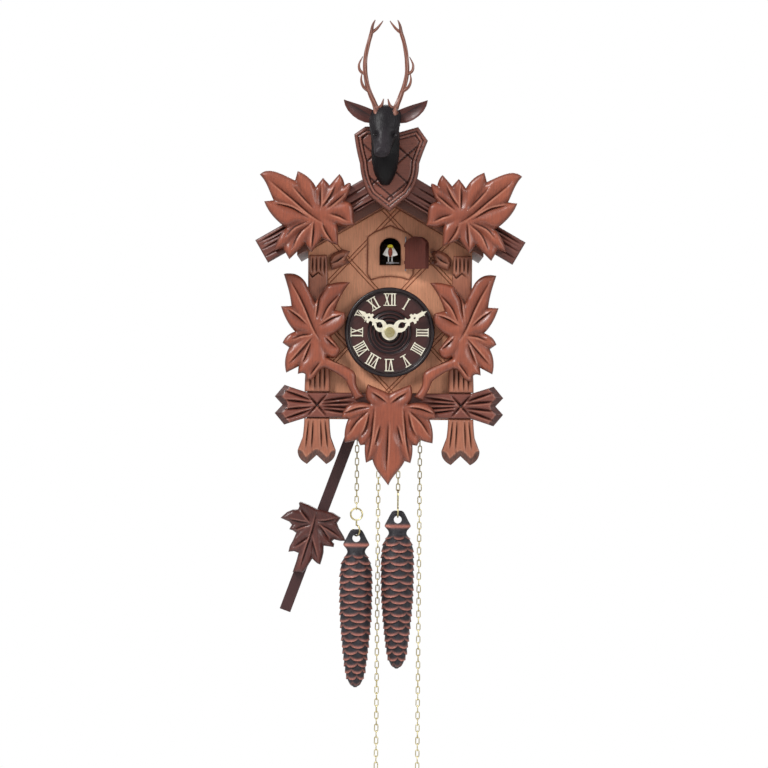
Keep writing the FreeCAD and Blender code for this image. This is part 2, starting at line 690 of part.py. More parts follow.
def set_hand(label, plate, bore, angle, y):
    """Bore a hand, turn it to its hour and put it on the dial's axis."""
    plate = plate.cut(Part.makeCylinder(bore, 10, FreeCAD.Vector(0, -5, 0), FreeCAD.Vector(0, 1, 0)))
    plate = plate.removeSplitter()
    thing = doc.addObject("Part::Feature", label)
    thing.Shape = plate
    thing.Placement = FreeCAD.Placement(FreeCAD.Vector(0, y, val("dial_centre_z")),
                                        FreeCAD.Rotation(FreeCAD.Vector(0, 1, 0), angle))
    return keep(thing, label)


def ring_rod(x, y, z, outer, inner, length):
    """A tube along Y."""
    bore = rod(x, "%s - 1" % y, z, inner, "%s + 2" % length, FORWARD)
    return cut(rod(x, y, z, outer, length, FORWARD), bore)


HAND_STACK = "(case_depth + dial_board + hand_stand_off + 2 * hand_board + hand_spacing)"
ARBOR_END = 0.6


def make_hands():
    """Hour and minute hands, the minute arbor behind them and the brass nut on its end."""
    thick = val("hand_board")
    dial_face = -(val("case_depth") + val("dial_board"))
    hour_y = dial_face - val("hand_stand_off")
    minute_y = hour_y - thick - val("hand_spacing")
    hour = hand_plate(HOUR_HAND, 6.2, HOUR_WINDOWS, thick)
    set_hand("hour_hand", hour, val("hour_pipe_radius"), val("hour_hand_angle"), hour_y)
    minute = hand_plate(MINUTE_HAND, 5.2, MINUTE_WINDOWS, thick)
    set_hand("minute_hand", minute, val("minute_arbor_radius"), val("minute_hand_angle"), minute_y)
    keep(ring_rod("0", "-%s - hand_nut_board" % HAND_STACK, "dial_centre_z", "hand_nut_radius",
                  "minute_arbor_radius", "hand_nut_board"), "hand_nut")


# ---------------------------------------------------------------------------
# Bird and its door
# ---------------------------------------------------------------------------

def make_bird():
    """The bird with its two wings, on the carriage rod that slides in its guide."""
    front = -(val("case_depth") + 5.5)
    foot = val("doorway_bottom_z") + 2.6
    breast = FreeCAD.Vector(0, front + 1.5, foot + 6.8)
    body = taper(breast, FreeCAD.Vector(0, front + 5.5, foot + 5.6), 3.9, 3.2)
    body = body.fuse(Part.makeSphere(1.01 * 3.9, breast))
    head = Part.makeSphere(2.9, FreeCAD.Vector(0, front - 0.6, foot + 11.6))
    beak = Part.makeCone(1.1, 0.2, 3.2, FreeCAD.Vector(0, front - 3.0, foot + 11.2),
                         FreeCAD.Vector(0, -1, -0.1))
    tail = Part.makeBox(4.0, 7.0, 1.4, FreeCAD.Vector(-2.0, front + 6, foot + 5.2))
    legs = [Part.makeCylinder(0.5, 4.2, FreeCAD.Vector(x, front + 2.6, foot - 0.6)) for x in (-1.3, 1.3)]
    torso = body.fuse([head, beak, tail] + legs).removeSplitter()
    wings = []
    for side in (-1, 1):
        wing = Part.makeBox(0.9, 9.0, 6.4, FreeCAD.Vector(-0.45, 0, 0))
        wing.rotate(FreeCAD.Vector(0, 0, 0), FreeCAD.Vector(0, 1, 0), side * -14)
        wing.translate(FreeCAD.Vector(side * 4.6, front - 0.6, foot + 3.4))
        wings.append(wing)
    feature("bird", Part.makeCompound([torso] + wings))
    rod_z = "doorway_bottom_z + 1.4"
    carriage = rod("0", "-case_depth - 6", rod_z, "0.9", "bird_travel + 20", FORWARD)
    perch = block("-3", "-case_depth - 6.4", rod_z + " - 0.6", "6", "7.5", "1.2")
    hook = rod("1", "-case_depth - 5.6", rod_z, "0.45", "6", ACROSS)
    keep(fuse(carriage, perch, hook), "bird_carriage")
    guide_y = "(-case_depth + bird_travel + 2)"
    bridge = block("-6", "front_plate_y - plate_board", "plate_top_z", "12",
                   "back_plate_y - front_plate_y + 2 * plate_board", "3")
    post = block("-3", guide_y, "plate_top_z", "6", "9", "doorway_bottom_z - plate_top_z + 4")
    bore = rod("0", guide_y + " - 1", rod_z, "0.9 + running_gap", "20", FORWARD)
    keep(cut(fuse(bridge, post), bore), "bird_guide")


def make_bird_door():
    """The arched door, open on its upright hinge wire beside the doorway."""
    low = val("doorway_bottom_z") - val("door_lap_low")
    tall = val("doorway_top_z") + 0.6 - low
    thick = val("door_board")
    near = 0.9
    far = val("door_pin_x") + val("doorway_width") / 2 + val("door_lap_side")
    shoulder = tall - 5.0
    corners = [FreeCAD.Vector(-near, 0, shoulder), FreeCAD.Vector(-near, 0, 0), FreeCAD.Vector(-far, 0, 0),
               FreeCAD.Vector(-far, 0, shoulder)]
    edges = [Part.LineSegment(a, b).toShape() for a, b in zip(corners, corners[1:])]
    edges.append(Part.Arc(corners[3], FreeCAD.Vector(-(near + far) / 2, 0, tall), corners[0]).toShape())
    leaf = Part.Face(Part.Wire(edges)).extrude(FreeCAD.Vector(0, thick, 0))
    leaf.translate(FreeCAD.Vector(0, val("door_pin_stand_off") - thick - 0.4, 0))
    eye_outer = val("door_pin_radius") + 0.65
    solids = leaf
    for height in (4.0, shoulder - 3.0):
        eye = Part.makeCylinder(eye_outer, 2.4, FreeCAD.Vector(0, 0, height))
        arm = Part.makeBox(near + 1.0, 1.2, 2.4, FreeCAD.Vector(-near - 1.0, 0, height))
        solids = solids.fuse([eye, arm])
    bore = Part.makeCylinder(val("door_pin_radius") + val("running_gap"), 60, FreeCAD.Vector(0, 0, -20))
    door = solids.cut(bore).removeSplitter()
    thing = doc.addObject("Part::Feature", "bird_door")
    thing.Shape = door
    pin_y = -(val("case_depth") + val("door_pin_stand_off"))
    thing.Placement = FreeCAD.Placement(FreeCAD.Vector(val("door_pin_x"), pin_y, low),
                                        FreeCAD.Rotation(FreeCAD.Vector(0, 0, 1), val("door_open_angle")))
    keep(thing, "bird_door")
    wire_low = "doorway_bottom_z - door_lap_low - 1"
    wire = rod("door_pin_x", "-case_depth - door_pin_stand_off", wire_low, "door_pin_radius",
               "doorway_top_z - doorway_bottom_z + door_lap_low + 1.2")
    legs = [rod("door_pin_x", "-case_depth - door_pin_stand_off", z, "door_pin_radius", "door_pin_stand_off",
                FORWARD) for z in (wire_low, "doorway_top_z + 0.2")]
    keep(fuse(wire, *legs), "bird_door_wire")


# ---------------------------------------------------------------------------
# Movement
# ---------------------------------------------------------------------------

HAMMER_X = "(plate_width / 2 - 5)"
HAMMER_Z = "(plate_top_z - 5)"
GREAT_GAP = "(great_module * (great_teeth + pinion_teeth) / 2)"
MOTION_GAP = "(motion_module * (pinion_teeth + minute_wheel_teeth) / 2)"


def gear(teeth, module, thick, bore, turn=0.0):
    """A spur wheel lying in XZ, centred on the origin, one tooth along +X before its turn."""
    pitch = teeth * module / 2
    step = 2 * math.pi / teeth
    points = []
    for i in range(int(teeth)):
        for radius, offset in ((pitch - 0.9 * module, -0.24), (pitch + 0.7 * module, -0.10),
                               (pitch + 0.7 * module, 0.10), (pitch - 0.9 * module, 0.24)):
            angle = (i + offset) * step + math.radians(turn)
            points.append(FreeCAD.Vector(radius * math.cos(angle), 0, radius * math.sin(angle)))
    blank = Part.Face(Part.makePolygon(points + points[:1])).extrude(FreeCAD.Vector(0, thick, 0))
    if bore > 0:
        blank = blank.cut(Part.makeCylinder(bore, 3 * thick, FreeCAD.Vector(0, -thick, 0),
                                            FreeCAD.Vector(0, 1, 0)))
    return blank


def drum(radius, y, length):
    """A plain round of a wheel assembly, along Y from depth y."""
    return Part.makeCylinder(radius, length, FreeCAD.Vector(0, y, 0), FreeCAD.Vector(0, 1, 0))


def set_wheel(label, shape, x, z):
    """Put a wheel assembly, modelled about the Y axis, on its arbor's place."""
    thing = doc.addObject("Part::Feature", label)
    thing.Shape = shape.removeSplitter()
    thing.Placement = FreeCAD.Placement(FreeCAD.Vector(x, 0, z), UPRIGHT)
    return keep(thing, label)


def make_plates():
    """Two brass plates bored for every arbor, and the four pillars between them."""
    low_arbors = [("%d * %s" % (side, TRAIN_X), z) for _, side in SIDES
                  for z in ("train_z", "train_z + " + GREAT_GAP)]
    bore = "arbor_radius + running_gap"
    tall = "plate_top_z - plate_bottom_z"
    face = "front_plate_y - plate_board"
    front = block("-plate_width / 2", face, "plate_bottom_z", "plate_width", "plate_board", tall)
    tools = [rod(x, face + " - 1", z, bore, "plate_board + 2", FORWARD) for x, z in low_arbors]
    tools.append(rod("0", face + " - 1", "dial_centre_z", "minute_arbor_radius + running_gap",
                     "plate_board + 2", FORWARD))
    front = cut(front, *tools)
    stud = rod("0", face + " - 5", "dial_centre_z + " + MOTION_GAP, "arbor_radius", "5", FORWARD)
    keep(fuse(front, stud), "front_plate")
    back = block("-plate_width / 2", "back_plate_y", "plate_bottom_z", "plate_width", "plate_board", tall)
    boss = rod("0", "back_plate_y", "dial_centre_z", "3", "plate_board + 3", FORWARD)
    stud = rod("-" + HAMMER_X, "back_plate_y", HAMMER_Z, "hammer_stud_radius",
               "gong_y - back_plate_y + 2", FORWARD)
    tools = [rod(x, "back_plate_y - 1", z, bore, "plate_board + 2", FORWARD) for x, z in low_arbors]
    tools.append(rod("0", "back_plate_y - 1", "dial_centre_z", bore, "plate_board + 6", FORWARD))
    keep(cut(fuse(back, boss, stud), *tools), "back_plate")
    pillars = [rod("%d * (plate_width / 2 - 5)" % side, "front_plate_y", z, "pillar_radius",
                   "back_plate_y - front_plate_y", FORWARD)
               for side in (-1, 1) for z in ("plate_top_z - 5", "plate_bottom_z + 5")]
    feet = [block("%d * (plate_width / 2 - 5) - 3" % side, "front_plate_y", FLOOR_TOP, "6", "6",
                  "plate_bottom_z - %s" % FLOOR_TOP) for side in (-1, 1)]
    feet += [block("%d * (plate_width / 2 - 5) - 3" % side, "back_plate_y - 6", FLOOR_TOP, "6", "6",
                   "plate_bottom_z - %s" % FLOOR_TOP) for side in (-1, 1)]
    keep(group(*(pillars + feet)), "plate_pillars")


def make_motion_work():
    """Minute arbor pinion, minute wheel and hour wheel behind the dial."""
    module = val("motion_module")
    hour_module = (module * (val("pinion_teeth") + val("minute_wheel_teeth"))
                   / (val("hour_pinion_teeth") + val("hour_wheel_teeth")))
    rear = val("front_plate_y") - val("plate_board") - 1.9
    fore = rear - 2.2
    gap = module * (val("pinion_teeth") + val("minute_wheel_teeth")) / 2
    wheel_bore = val("arbor_radius") + val("running_gap")
    wheel = gear(val("minute_wheel_teeth"), module, 1.3, wheel_bore, 180 / val("minute_wheel_teeth"))
    wheel.translate(FreeCAD.Vector(0, rear, 0))
    pinion = gear(val("hour_pinion_teeth"), hour_module, rear - fore + 0.2, wheel_bore)
    pinion.translate(FreeCAD.Vector(0, fore, 0))
    set_wheel("minute_wheel", wheel.fuse(pinion), 0, val("dial_centre_z") + gap)
    hour_face = -(val("case_depth") + val("dial_board") + val("hand_stand_off") + val("hand_board"))
    pipe_bore = val("minute_arbor_radius") + val("running_gap")
    hour = gear(val("hour_wheel_teeth"), hour_module, 1.3, 0)
    hour.translate(FreeCAD.Vector(0, fore, 0))
    hour = hour.fuse(drum(val("hour_pipe_radius"), hour_face - 0.4, fore + 1.3 - hour_face + 0.4))
    hour = hour.cut(drum(pipe_bore, -200, 200))
    set_wheel("hour_wheel", hour, 0, val("dial_centre_z"))
    stack = -(number(HAND_STACK) + val("hand_nut_board") + ARBOR_END)
    cannon = gear(val("pinion_teeth"), module, 1.3, 0)
    cannon.translate(FreeCAD.Vector(0, rear, 0))
    end = val("front_plate_y") + 3.5
    set_wheel("minute_arbor", cannon.fuse(drum(val("minute_arbor_radius"), stack, end - stack)),
              0, val("dial_centre_z"))


def make_trains():
    """The chain-driven great wheels, the escape wheel above one and the fly above the other."""
    module = val("great_module")
    front = val("front_plate_y")
    back = val("back_plate_y")
    board_thick = val("wheel_board")
    arbor = drum(val("arbor_radius"), front - val("plate_board"), back - front + 2 * val("plate_board"))
    centre = val("train_y")
    root = val("chain_radius") - val("link_width") / 2 - 0.2
    great = gear(val("great_teeth"), module, board_thick, 0)
    great.translate(FreeCAD.Vector(0, front + 2, 0))
    flange = val("link_width") / 2 + 0.5
    sheave = drum(root, centre - flange, 2 * flange)
    for y in (centre - flange - 0.8, centre + flange):
        sheave = sheave.fuse(drum(val("chain_radius") + 1.0, y, 0.8))
    solid = great.fuse([sheave, arbor])
    for name, side in SIDES:
        set_wheel("great_wheel_" + name, solid, side * number(TRAIN_X), val("train_z"))
    gap = module * (val("great_teeth") + val("pinion_teeth")) / 2
    pinion = gear(val("pinion_teeth"), module, board_thick + 1, 0, 180 / val("pinion_teeth"))
    pinion.translate(FreeCAD.Vector(0, front + 1.5, 0))
    teeth = 30
    rim = val("escape_radius")
    points = []
    for i in range(teeth):
        for radius, offset in ((rim * 0.8, 0.0), (rim, 0.06), (rim, 0.14), (rim * 0.8, 0.55)):
            angle = 2 * math.pi * (i + offset) / teeth
            points.append(FreeCAD.Vector(radius * math.cos(angle), 0, radius * math.sin(angle)))
    escape = Part.Face(Part.makePolygon(points + points[:1])).extrude(FreeCAD.Vector(0, 1.2, 0))
    escape.translate(FreeCAD.Vector(0, back - 10, 0))
    set_wheel("escape_wheel", escape.fuse([pinion, arbor]), -number(TRAIN_X), val("train_z") + gap)
    blade = Part.makeBox(12.4, 8, 0.5, FreeCAD.Vector(-6.2, back - 11, -0.25))
    set_wheel("fly", pinion.fuse([arbor, blade]), number(TRAIN_X), val("train_z") + gap)


# ---------------------------------------------------------------------------
# Sound
# ---------------------------------------------------------------------------

def make_whistles():
    """Two wooden pipes on the floor, each with a bellows on top."""
    cloths = []
    for name, side in SIDES:
        low_x = "%s - whistle_width" % INNER_X if side > 0 else "-%s" % INNER_X
        front_y = "front_plate_y - plate_board"
        pipe = block(low_x, front_y, FLOOR_TOP, "whistle_width", "whistle_depth", "whistle_height")
        bore = block(low_x + " + 3", front_y + " + 3", FLOOR_TOP + " + 4", "whistle_width - 6",
                     "whistle_depth - 6", "whistle_height - 8")
        mouth_x = low_x + (" - 1" if side > 0 else " + whistle_width - 5")
        mouth = block(mouth_x, front_y + " + 3", FLOOR_TOP + " + 12", "6", "whistle_depth - 6", "6")
        keep(cut(pipe, bore, mouth), "whistle_" + name)
        top = FLOOR_TOP + " + whistle_height"
        cloths.append(block(low_x + " + 0.6", front_y + " + 0.6", top, "whistle_width - 1.2",
                            "whistle_depth - 1.2", "bellows_height - 3"))
        keep(block(low_x + " + 0.3", front_y, top + " + bellows_height - 3", "whistle_width - 0.6",
                   "whistle_depth", "3"), "bellows_board_" + name)
    keep(group(*cloths), "bellows_cloths")


def make_gong():
    """A spiral wire gong on its block behind the movement, and the hammer that strikes it."""
    wire = val("gong_wire_radius")
    pitch = val("gong_pitch")
    y = val("gong_y")
    centre = FreeCAD.Vector(6, y, val("dial_centre_z") - 2)
    radius = pitch
    edges = []
    point = centre + FreeCAD.Vector(radius, 0, 0)
    for turn in range(9):
        side = 1 if turn % 2 == 0 else -1
        shift = FreeCAD.Vector(side * (radius - (point.x - centre.x) * side), 0, 0)
        middle = FreeCAD.Vector(point.x - side * radius, y, centre.z)
        crest = middle + FreeCAD.Vector(0, 0, side * radius)
        end = middle - FreeCAD.Vector(side * radius, 0, 0)
        edges.append(Part.Arc(point, crest, end).toShape())
        point = end
        radius += pitch / 2
    path = Part.Wire(edges)
    start = edges[0].valueAt(edges[0].FirstParameter)
    section = Part.Wire(Part.makeCircle(wire, start, FreeCAD.Vector(0, 0, 1)))
    coil = path.makePipeShell([section], True, False)
    stem_z = centre.z
    block_y = y - 2.2
    stand = Part.makeBox(9, -val("back_board") - block_y - 0.3, 9,
                         FreeCAD.Vector(point.x - 4.5, block_y, stem_z - 9))
    feature("gong_coil", Part.makeCompound([coil.fuse(stand).removeSplitter()]))


def make_hammer():
    """The gong hammer, hung from its stud behind the back plate."""
    y = val("gong_y")
    x = -number(HAMMER_X)
    z = number(HAMMER_Z)
    stem_length = val("hammer_stem")
    hub = Part.makeCylinder(2.4, 5, FreeCAD.Vector(x, y - 4, z), FreeCAD.Vector(0, 1, 0))
    stem = Part.makeCylinder(0.7, stem_length, FreeCAD.Vector(x, y - 1.5, z - 1), FreeCAD.Vector(0, 0, -1))
    head = Part.makeCylinder(2.6, 6, FreeCAD.Vector(x - 3, y - 1.5, z - 1 - stem_length),
                             FreeCAD.Vector(1, 0, 0))
    bore = Part.makeCylinder(val("hammer_stud_radius") + val("running_gap"), 20,
                             FreeCAD.Vector(x, y - 10, z), FreeCAD.Vector(0, 1, 0))
    feature("gong_hammer", hub.fuse([stem, head]).cut(bore).removeSplitter())


# ---------------------------------------------------------------------------
# Chains, weights and pendulum
# ---------------------------------------------------------------------------

def link(flat):
    """One link about the origin, long in Z; flat links face the viewer."""
    wire = val("link_wire")
    tall = val("link_pitch") + 2 * wire + 0.3
    wide = val("link_width")
    loop = Part.makeBox(wide, wire, tall, FreeCAD.Vector(-wide / 2, -wire / 2, -tall / 2))
    gap = Part.makeBox(wide - 2 * wire, 3 * wire, tall - 2 * wire,
                       FreeCAD.Vector(wire - wide / 2, -1.5 * wire, wire - tall / 2))
    loop = loop.cut(gap)
    if not flat:
        loop.rotate(FreeCAD.Vector(0, 0, 0), FreeCAD.Vector(0, 0, 1), 90)
    return loop


FIRST_LINK_DROP = 1.7


def strand(x, count):
    """A hanging run of links below one side of a chain wheel."""
    links = []
    for i in range(int(count)):
        piece = link(i % 2 == 1)
        piece.translate(FreeCAD.Vector(x, val("train_y"),
                                       val("train_z") - FIRST_LINK_DROP - i * val("link_pitch")))
        links.append(piece)
    return links


def last_link_z(count):
    return val("train_z") - FIRST_LINK_DROP - (count - 1) * val("link_pitch")


def hook_solid(x, ring_z, face_on):
    """The S hook: a closed ring above and an open loop below, seen edge on."""
    radius = val("hook_ring_radius")
    wire = val("hook_wire_radius")
    y = val("train_y")
    ring = Part.makeTorus(radius, wire, FreeCAD.Vector(0, 0, 0), FreeCAD.Vector(0, 1, 0))
    if not face_on:
        ring.rotate(FreeCAD.Vector(0, 0, 0), FreeCAD.Vector(0, 0, 1), 90)
    bend = val("hook_loop_radius")
    shank = Part.makeCylinder(wire, 4.4, FreeCAD.Vector(0, 0, -radius - 4.2))
    low = -radius - 4.0 - bend
    arc = Part.ArcOfCircle(Part.Circle(FreeCAD.Vector(0, 0, low), FreeCAD.Vector(1, 0, 0), bend),
                           math.radians(90), math.radians(90 + 285)).toShape()
    start = arc.valueAt(arc.FirstParameter)
    section = Part.Wire(Part.makeCircle(wire, start, arc.tangentAt(arc.FirstParameter)))
    loop = Part.Wire([arc]).makePipeShell([section], True, False)
    hook = ring.fuse([shank, loop])
    hook.translate(FreeCAD.Vector(x, y, ring_z))
    return hook, ring_z + low


def cone_weight(x, hole_z):
    """A cast fir cone hung from the hole in its flat eye."""
    y = val("train_y")
    radius = val("cone_radius")
    tall = val("cone_length")
    profile = [(0, -8), (6.5, -9), (8.5, -14), (radius - 1, -24), (radius, -32), (radius, -50),
               (radius - 1.6, -tall + 26), (radius - 4.5, -tall + 12), (4, -tall + 2), (0, -tall)]
    points = [FreeCAD.Vector(a, 0, b) for a, b in profile]
    body = Part.Face(Part.makePolygon(points + points[:1])).revolve(FreeCAD.Vector(0, 0, 0),
                                                                    FreeCAD.Vector(0, 0, 1), 360)
    plate = val("eye_board")
    eye = Part.makeCylinder(val("eye_radius"), plate, FreeCAD.Vector(0, -plate / 2, -3.0),
                            FreeCAD.Vector(0, 1, 0))
    hole = Part.makeCylinder(val("eye_hole_radius"), 30, FreeCAD.Vector(0, -15, 0), FreeCAD.Vector(0, 1, 0))
    cone = body.fuse(eye).cut(hole).removeSplitter()
    cone.translate(FreeCAD.Vector(x, y, hole_z))
    return cone


HOOK_REST = 0.5
LINK_REST = 0.1


def make_weights():
    """Two weighted chains, their free tails with end rings, and the links over the wheels."""
    tall = val("link_pitch") + 2 * val("link_wire") + 0.3
    wraps = []
    for name, side in SIDES:
        centre = side * number(TRAIN_X)
        load_x = centre - val("chain_radius")
        tail_x = centre + val("chain_radius")
        count = val(name + "_links")
        bottom = last_link_z(count)
        end_inside = bottom - tall / 2 + val("link_wire") + LINK_REST
        ring_z = end_inside - val("hook_ring_radius") + val("hook_wire_radius")
        hook, loop_z = hook_solid(load_x, ring_z, name == "left")
        feature("weight_chain_" + name, Part.makeCompound(strand(load_x, count) + [hook]))
        hole_z = loop_z - val("hook_loop_radius") + val("hook_wire_radius")
        hole_z += HOOK_REST - val("eye_hole_radius")
        feature("weight_cone_" + name, cone_weight(load_x, hole_z))
        tails = strand(tail_x, val("tail_links"))
        end_z = last_link_z(val("tail_links")) - tall / 2 + val("link_wire") + LINK_REST
        drop = val("tail_ring_radius") - val("tail_ring_wire")
        ring = Part.makeTorus(val("tail_ring_radius"), val("tail_ring_wire"),
                              FreeCAD.Vector(tail_x, val("train_y"), end_z - drop), FreeCAD.Vector(0, 1, 0))
        feature("chain_tail_" + name, Part.makeCompound(tails + [ring]))
        pitch_angle = math.degrees(val("link_pitch") / val("chain_radius"))
        for i in (-2, -1, 0, 1, 2):
            piece = link(i % 2 == 0)
            piece.rotate(FreeCAD.Vector(0, 0, 0), FreeCAD.Vector(0, 1, 0), 90)
            piece.translate(FreeCAD.Vector(0, 0, val("chain_radius")))
            piece.rotate(FreeCAD.Vector(0, 0, 0), FreeCAD.Vector(0, 1, 0), i * pitch_angle)
            piece.translate(FreeCAD.Vector(centre, val("train_y"), val("train_z")))
            wraps.append(piece)
    feature("chain_wraps", Part.makeCompound(wraps))


def leaning(label, shape):
    """A pendulum piece, modelled hanging straight from its pivot, leaned to its rest."""
    thing = doc.addObject("Part::Feature", label)
    thing.Shape = shape
    thing.Placement = FreeCAD.Placement(FreeCAD.Vector(0, val("pendulum_y"), val("dial_centre_z")),
                                        FreeCAD.Rotation(FreeCAD.Vector(0, 1, 0), val("pendulum_lean")))
    return keep(thing, label)


def make_pendulum():
    """The pallet arbor with its crutch wire, the wooden rod and the carved leaf bob."""
    front = val("back_plate_y") - 10 - val("pendulum_y")
    arbor = Part.makeCylinder(val("arbor_radius"), -front, FreeCAD.Vector(0, front, 0),
                              FreeCAD.Vector(0, 1, 0))
    hub = Part.makeCylinder(2.4, 1.2, FreeCAD.Vector(0, front, 0), FreeCAD.Vector(0, 1, 0))
    arms = []
    for side in (-1, 1):
        arm = Part.makeBox(7.0, 1.2, 1.6, FreeCAD.Vector(-7.0, front, -0.8))
        arm.rotate(FreeCAD.Vector(0, 0, 0), FreeCAD.Vector(0, 1, 0), side * 32)
        arms.append(arm)
    knob = Part.makeCylinder(1.8, 2.4, FreeCAD.Vector(0, -1.2, 0), FreeCAD.Vector(0, 1, 0))
    crutch = Part.makeCylinder(0.8, val("rod_top"), FreeCAD.Vector(0, 0, -val("rod_top")))
    leaning("pallet_arbor", arbor.fuse([hub, knob, crutch] + arms).removeSplitter())
    wide = val("rod_width")
    thick = val("rod_board")
    stick = Part.makeBox(wide, thick, val("rod_length"),
                         FreeCAD.Vector(-wide / 2, -thick / 2, -val("rod_top") - val("rod_length")))
    leaning("pendulum_rod", stick)
    clear = val("running_gap")
    body = doc.addObject("PartDesign::Body", "bob_blank")
    sketch = new_sketch(body, "fret_line")
    outline(sketch, BOB)
    pad(body, sketch, "bob_board")
    doc.recompute()
    leaf = body.Shape.copy()
    leaf.translate(FreeCAD.Vector(0, -thick / 2 - clear, -val("bob_centre")))
    strap_low = FreeCAD.Vector(-wide / 2 - 1.5, -thick / 2 - clear, -val("bob_centre") - 6)
    strap = Part.makeBox(wide + 3, thick + 2 * clear + 1.0, 12, strap_low)
    slot = Part.makeBox(wide + 2 * clear, thick + 2 * clear, 40,
                        FreeCAD.Vector(-wide / 2 - clear, -thick / 2 - clear, -val("bob_centre") - 20))
    leaning("pendulum_bob", leaf.fuse(strap.cut(slot)).removeSplitter())


# ---------------------------------------------------------------------------
# Build, check and write
# ---------------------------------------------------------------------------

make_front_panel()
make_sides_and_roof()
make_floor_panel()
make_back()
make_posts_and_bar()
make_leaves()
make_logs()
make_stag()
make_antlers()
make_dial()
make_numerals()
make_hands()
make_bird()
make_bird_door()
make_plates()
make_motion_work()
make_trains()
make_whistles()
make_gong()
make_hammer()
make_weights()
make_pendulum()
doc.recompute()

for thing in doc.Objects:
    if "Invalid" in thing.State or "Error" in thing.State:
        raise RuntimeError("%s did not build: %s" % (thing.Label, thing.State))
for thing in NODES:
    if thing.Shape.isNull() or not thing.Shape.isValid():
        raise RuntimeError("%s has no valid shape" % thing.Label)

os.makedirs("parts", exist_ok=True)
for thing in NODES:
    thing.Shape.exportStep(os.path.join("parts", thing.Label + ".step"))
print("sub-parts written:", len(NODES))
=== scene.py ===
# %% [markdown]
# # A carved cuckoo clock
# The case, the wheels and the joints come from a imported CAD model, the frame. This file adds what a
# carver, a painter and a chain maker would add. Lengths are worked out in millimetres and become metres
# when a mesh is made. Everything is placed from the frame's own boxes and outlines, so nothing is fitted.

# %% The frame
import json
import math
import bpy
import numpy as np
from mathutils import Matrix, Vector
from mathutils.geometry import delaunay_2d_cdt


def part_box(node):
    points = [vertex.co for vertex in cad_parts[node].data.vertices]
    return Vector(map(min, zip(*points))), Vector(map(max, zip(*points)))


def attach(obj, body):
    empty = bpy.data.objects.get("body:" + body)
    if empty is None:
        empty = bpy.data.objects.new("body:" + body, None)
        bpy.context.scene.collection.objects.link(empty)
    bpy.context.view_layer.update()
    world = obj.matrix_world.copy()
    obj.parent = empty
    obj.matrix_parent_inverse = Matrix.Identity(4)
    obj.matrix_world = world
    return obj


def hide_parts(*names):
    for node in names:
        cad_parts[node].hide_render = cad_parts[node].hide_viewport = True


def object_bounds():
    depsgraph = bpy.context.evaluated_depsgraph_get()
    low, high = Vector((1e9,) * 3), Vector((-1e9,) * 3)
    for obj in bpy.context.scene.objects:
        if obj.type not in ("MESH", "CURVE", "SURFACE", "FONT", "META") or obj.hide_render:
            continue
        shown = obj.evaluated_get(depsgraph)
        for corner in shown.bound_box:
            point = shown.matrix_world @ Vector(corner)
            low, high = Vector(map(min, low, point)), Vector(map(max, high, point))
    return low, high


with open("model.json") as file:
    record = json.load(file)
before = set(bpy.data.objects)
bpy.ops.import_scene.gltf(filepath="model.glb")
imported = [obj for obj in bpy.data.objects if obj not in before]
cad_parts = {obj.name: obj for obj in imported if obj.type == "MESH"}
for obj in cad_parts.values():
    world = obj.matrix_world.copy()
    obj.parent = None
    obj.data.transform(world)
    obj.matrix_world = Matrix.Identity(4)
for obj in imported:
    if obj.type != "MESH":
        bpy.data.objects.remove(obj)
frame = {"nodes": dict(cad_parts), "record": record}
CAD_LOW, CAD_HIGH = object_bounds()
MM = 0.001


def mm_box(node):
    """A node's lowest and highest corners, in millimetres."""
    low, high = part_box(node)
    return np.array(low) / MM, np.array(high) / MM


# %% [markdown]
# ## Camera, light and floor
# A product picture of a wall clock is taken from far off with a long lens, so that the carving isn't
# distorted. The light is two large soft boxes and a grey surround. The background is white only for rays
# that come straight from the camera, so that it doesn't wash out dark and polished wood.

# %% Camera
CAMERA_PLACE = (-0.004, -2.292, -0.1202)
CAMERA_ROLL = math.radians(0.5)
LENS = 132.2

camera_data = bpy.data.cameras.new("camera")
camera_data.sensor_width = 36.0
camera_data.lens = LENS
camera = bpy.data.objects.new("camera", camera_data)
bpy.context.scene.collection.objects.link(camera)
camera_right = Vector((math.cos(CAMERA_ROLL), 0, math.sin(CAMERA_ROLL)))
camera_up = Vector((-math.sin(CAMERA_ROLL), 0, math.cos(CAMERA_ROLL)))
turn = Matrix((camera_right, camera_up, Vector((0, -1, 0)))).transposed().to_4x4()
camera.matrix_world = Matrix.Translation(CAMERA_PLACE) @ turn
bpy.context.scene.camera = camera
bpy.context.scene.view_settings.view_transform = "Standard"
print("camera", round((Vector(CAMERA_PLACE)).length, 2), "m from the hanging hole")

# %% Soft boxes
SOFT_BOXES = {
    "key_light": ((-1.35, -1.55, 1.45), 0.6, 42.0),
    "fill_light": ((1.6, -1.6, 0.5), 0.9, 13.0),
    "rear_light": ((0.3, 1.9, 1.2), 1.2, 15.0),
}
AIM = Vector((0.0, -0.08, -0.10))


def soft_box(name, place, size, power):
    """A square lamp that faces the clock."""
    data = bpy.data.lights.new(name, "AREA")
    data.size = size
    data.energy = power
    lamp = bpy.data.objects.new(name, data)
    lamp.location = place
    lamp.rotation_euler = (AIM - Vector(place)).to_track_quat("-Z", "Y").to_euler()
    bpy.context.scene.collection.objects.link(lamp)


for lamp_name, (lamp_place, lamp_size, lamp_power) in SOFT_BOXES.items():
    soft_box(lamp_name, lamp_place, lamp_size, lamp_power)
print("lamps:", ", ".join(SOFT_BOXES))


# %% White surround
def seen_directly(nodes, links):
    """A value that is 1 for camera and transmission rays."""
    path = nodes.new("ShaderNodeLightPath")
    most = nodes.new("ShaderNodeMath")
    most.operation = "MAXIMUM"
    links.new(path.outputs["Is Camera Ray"], most.inputs[0])
    links.new(path.outputs["Is Transmission Ray"], most.inputs[1])
    return most.outputs[0]


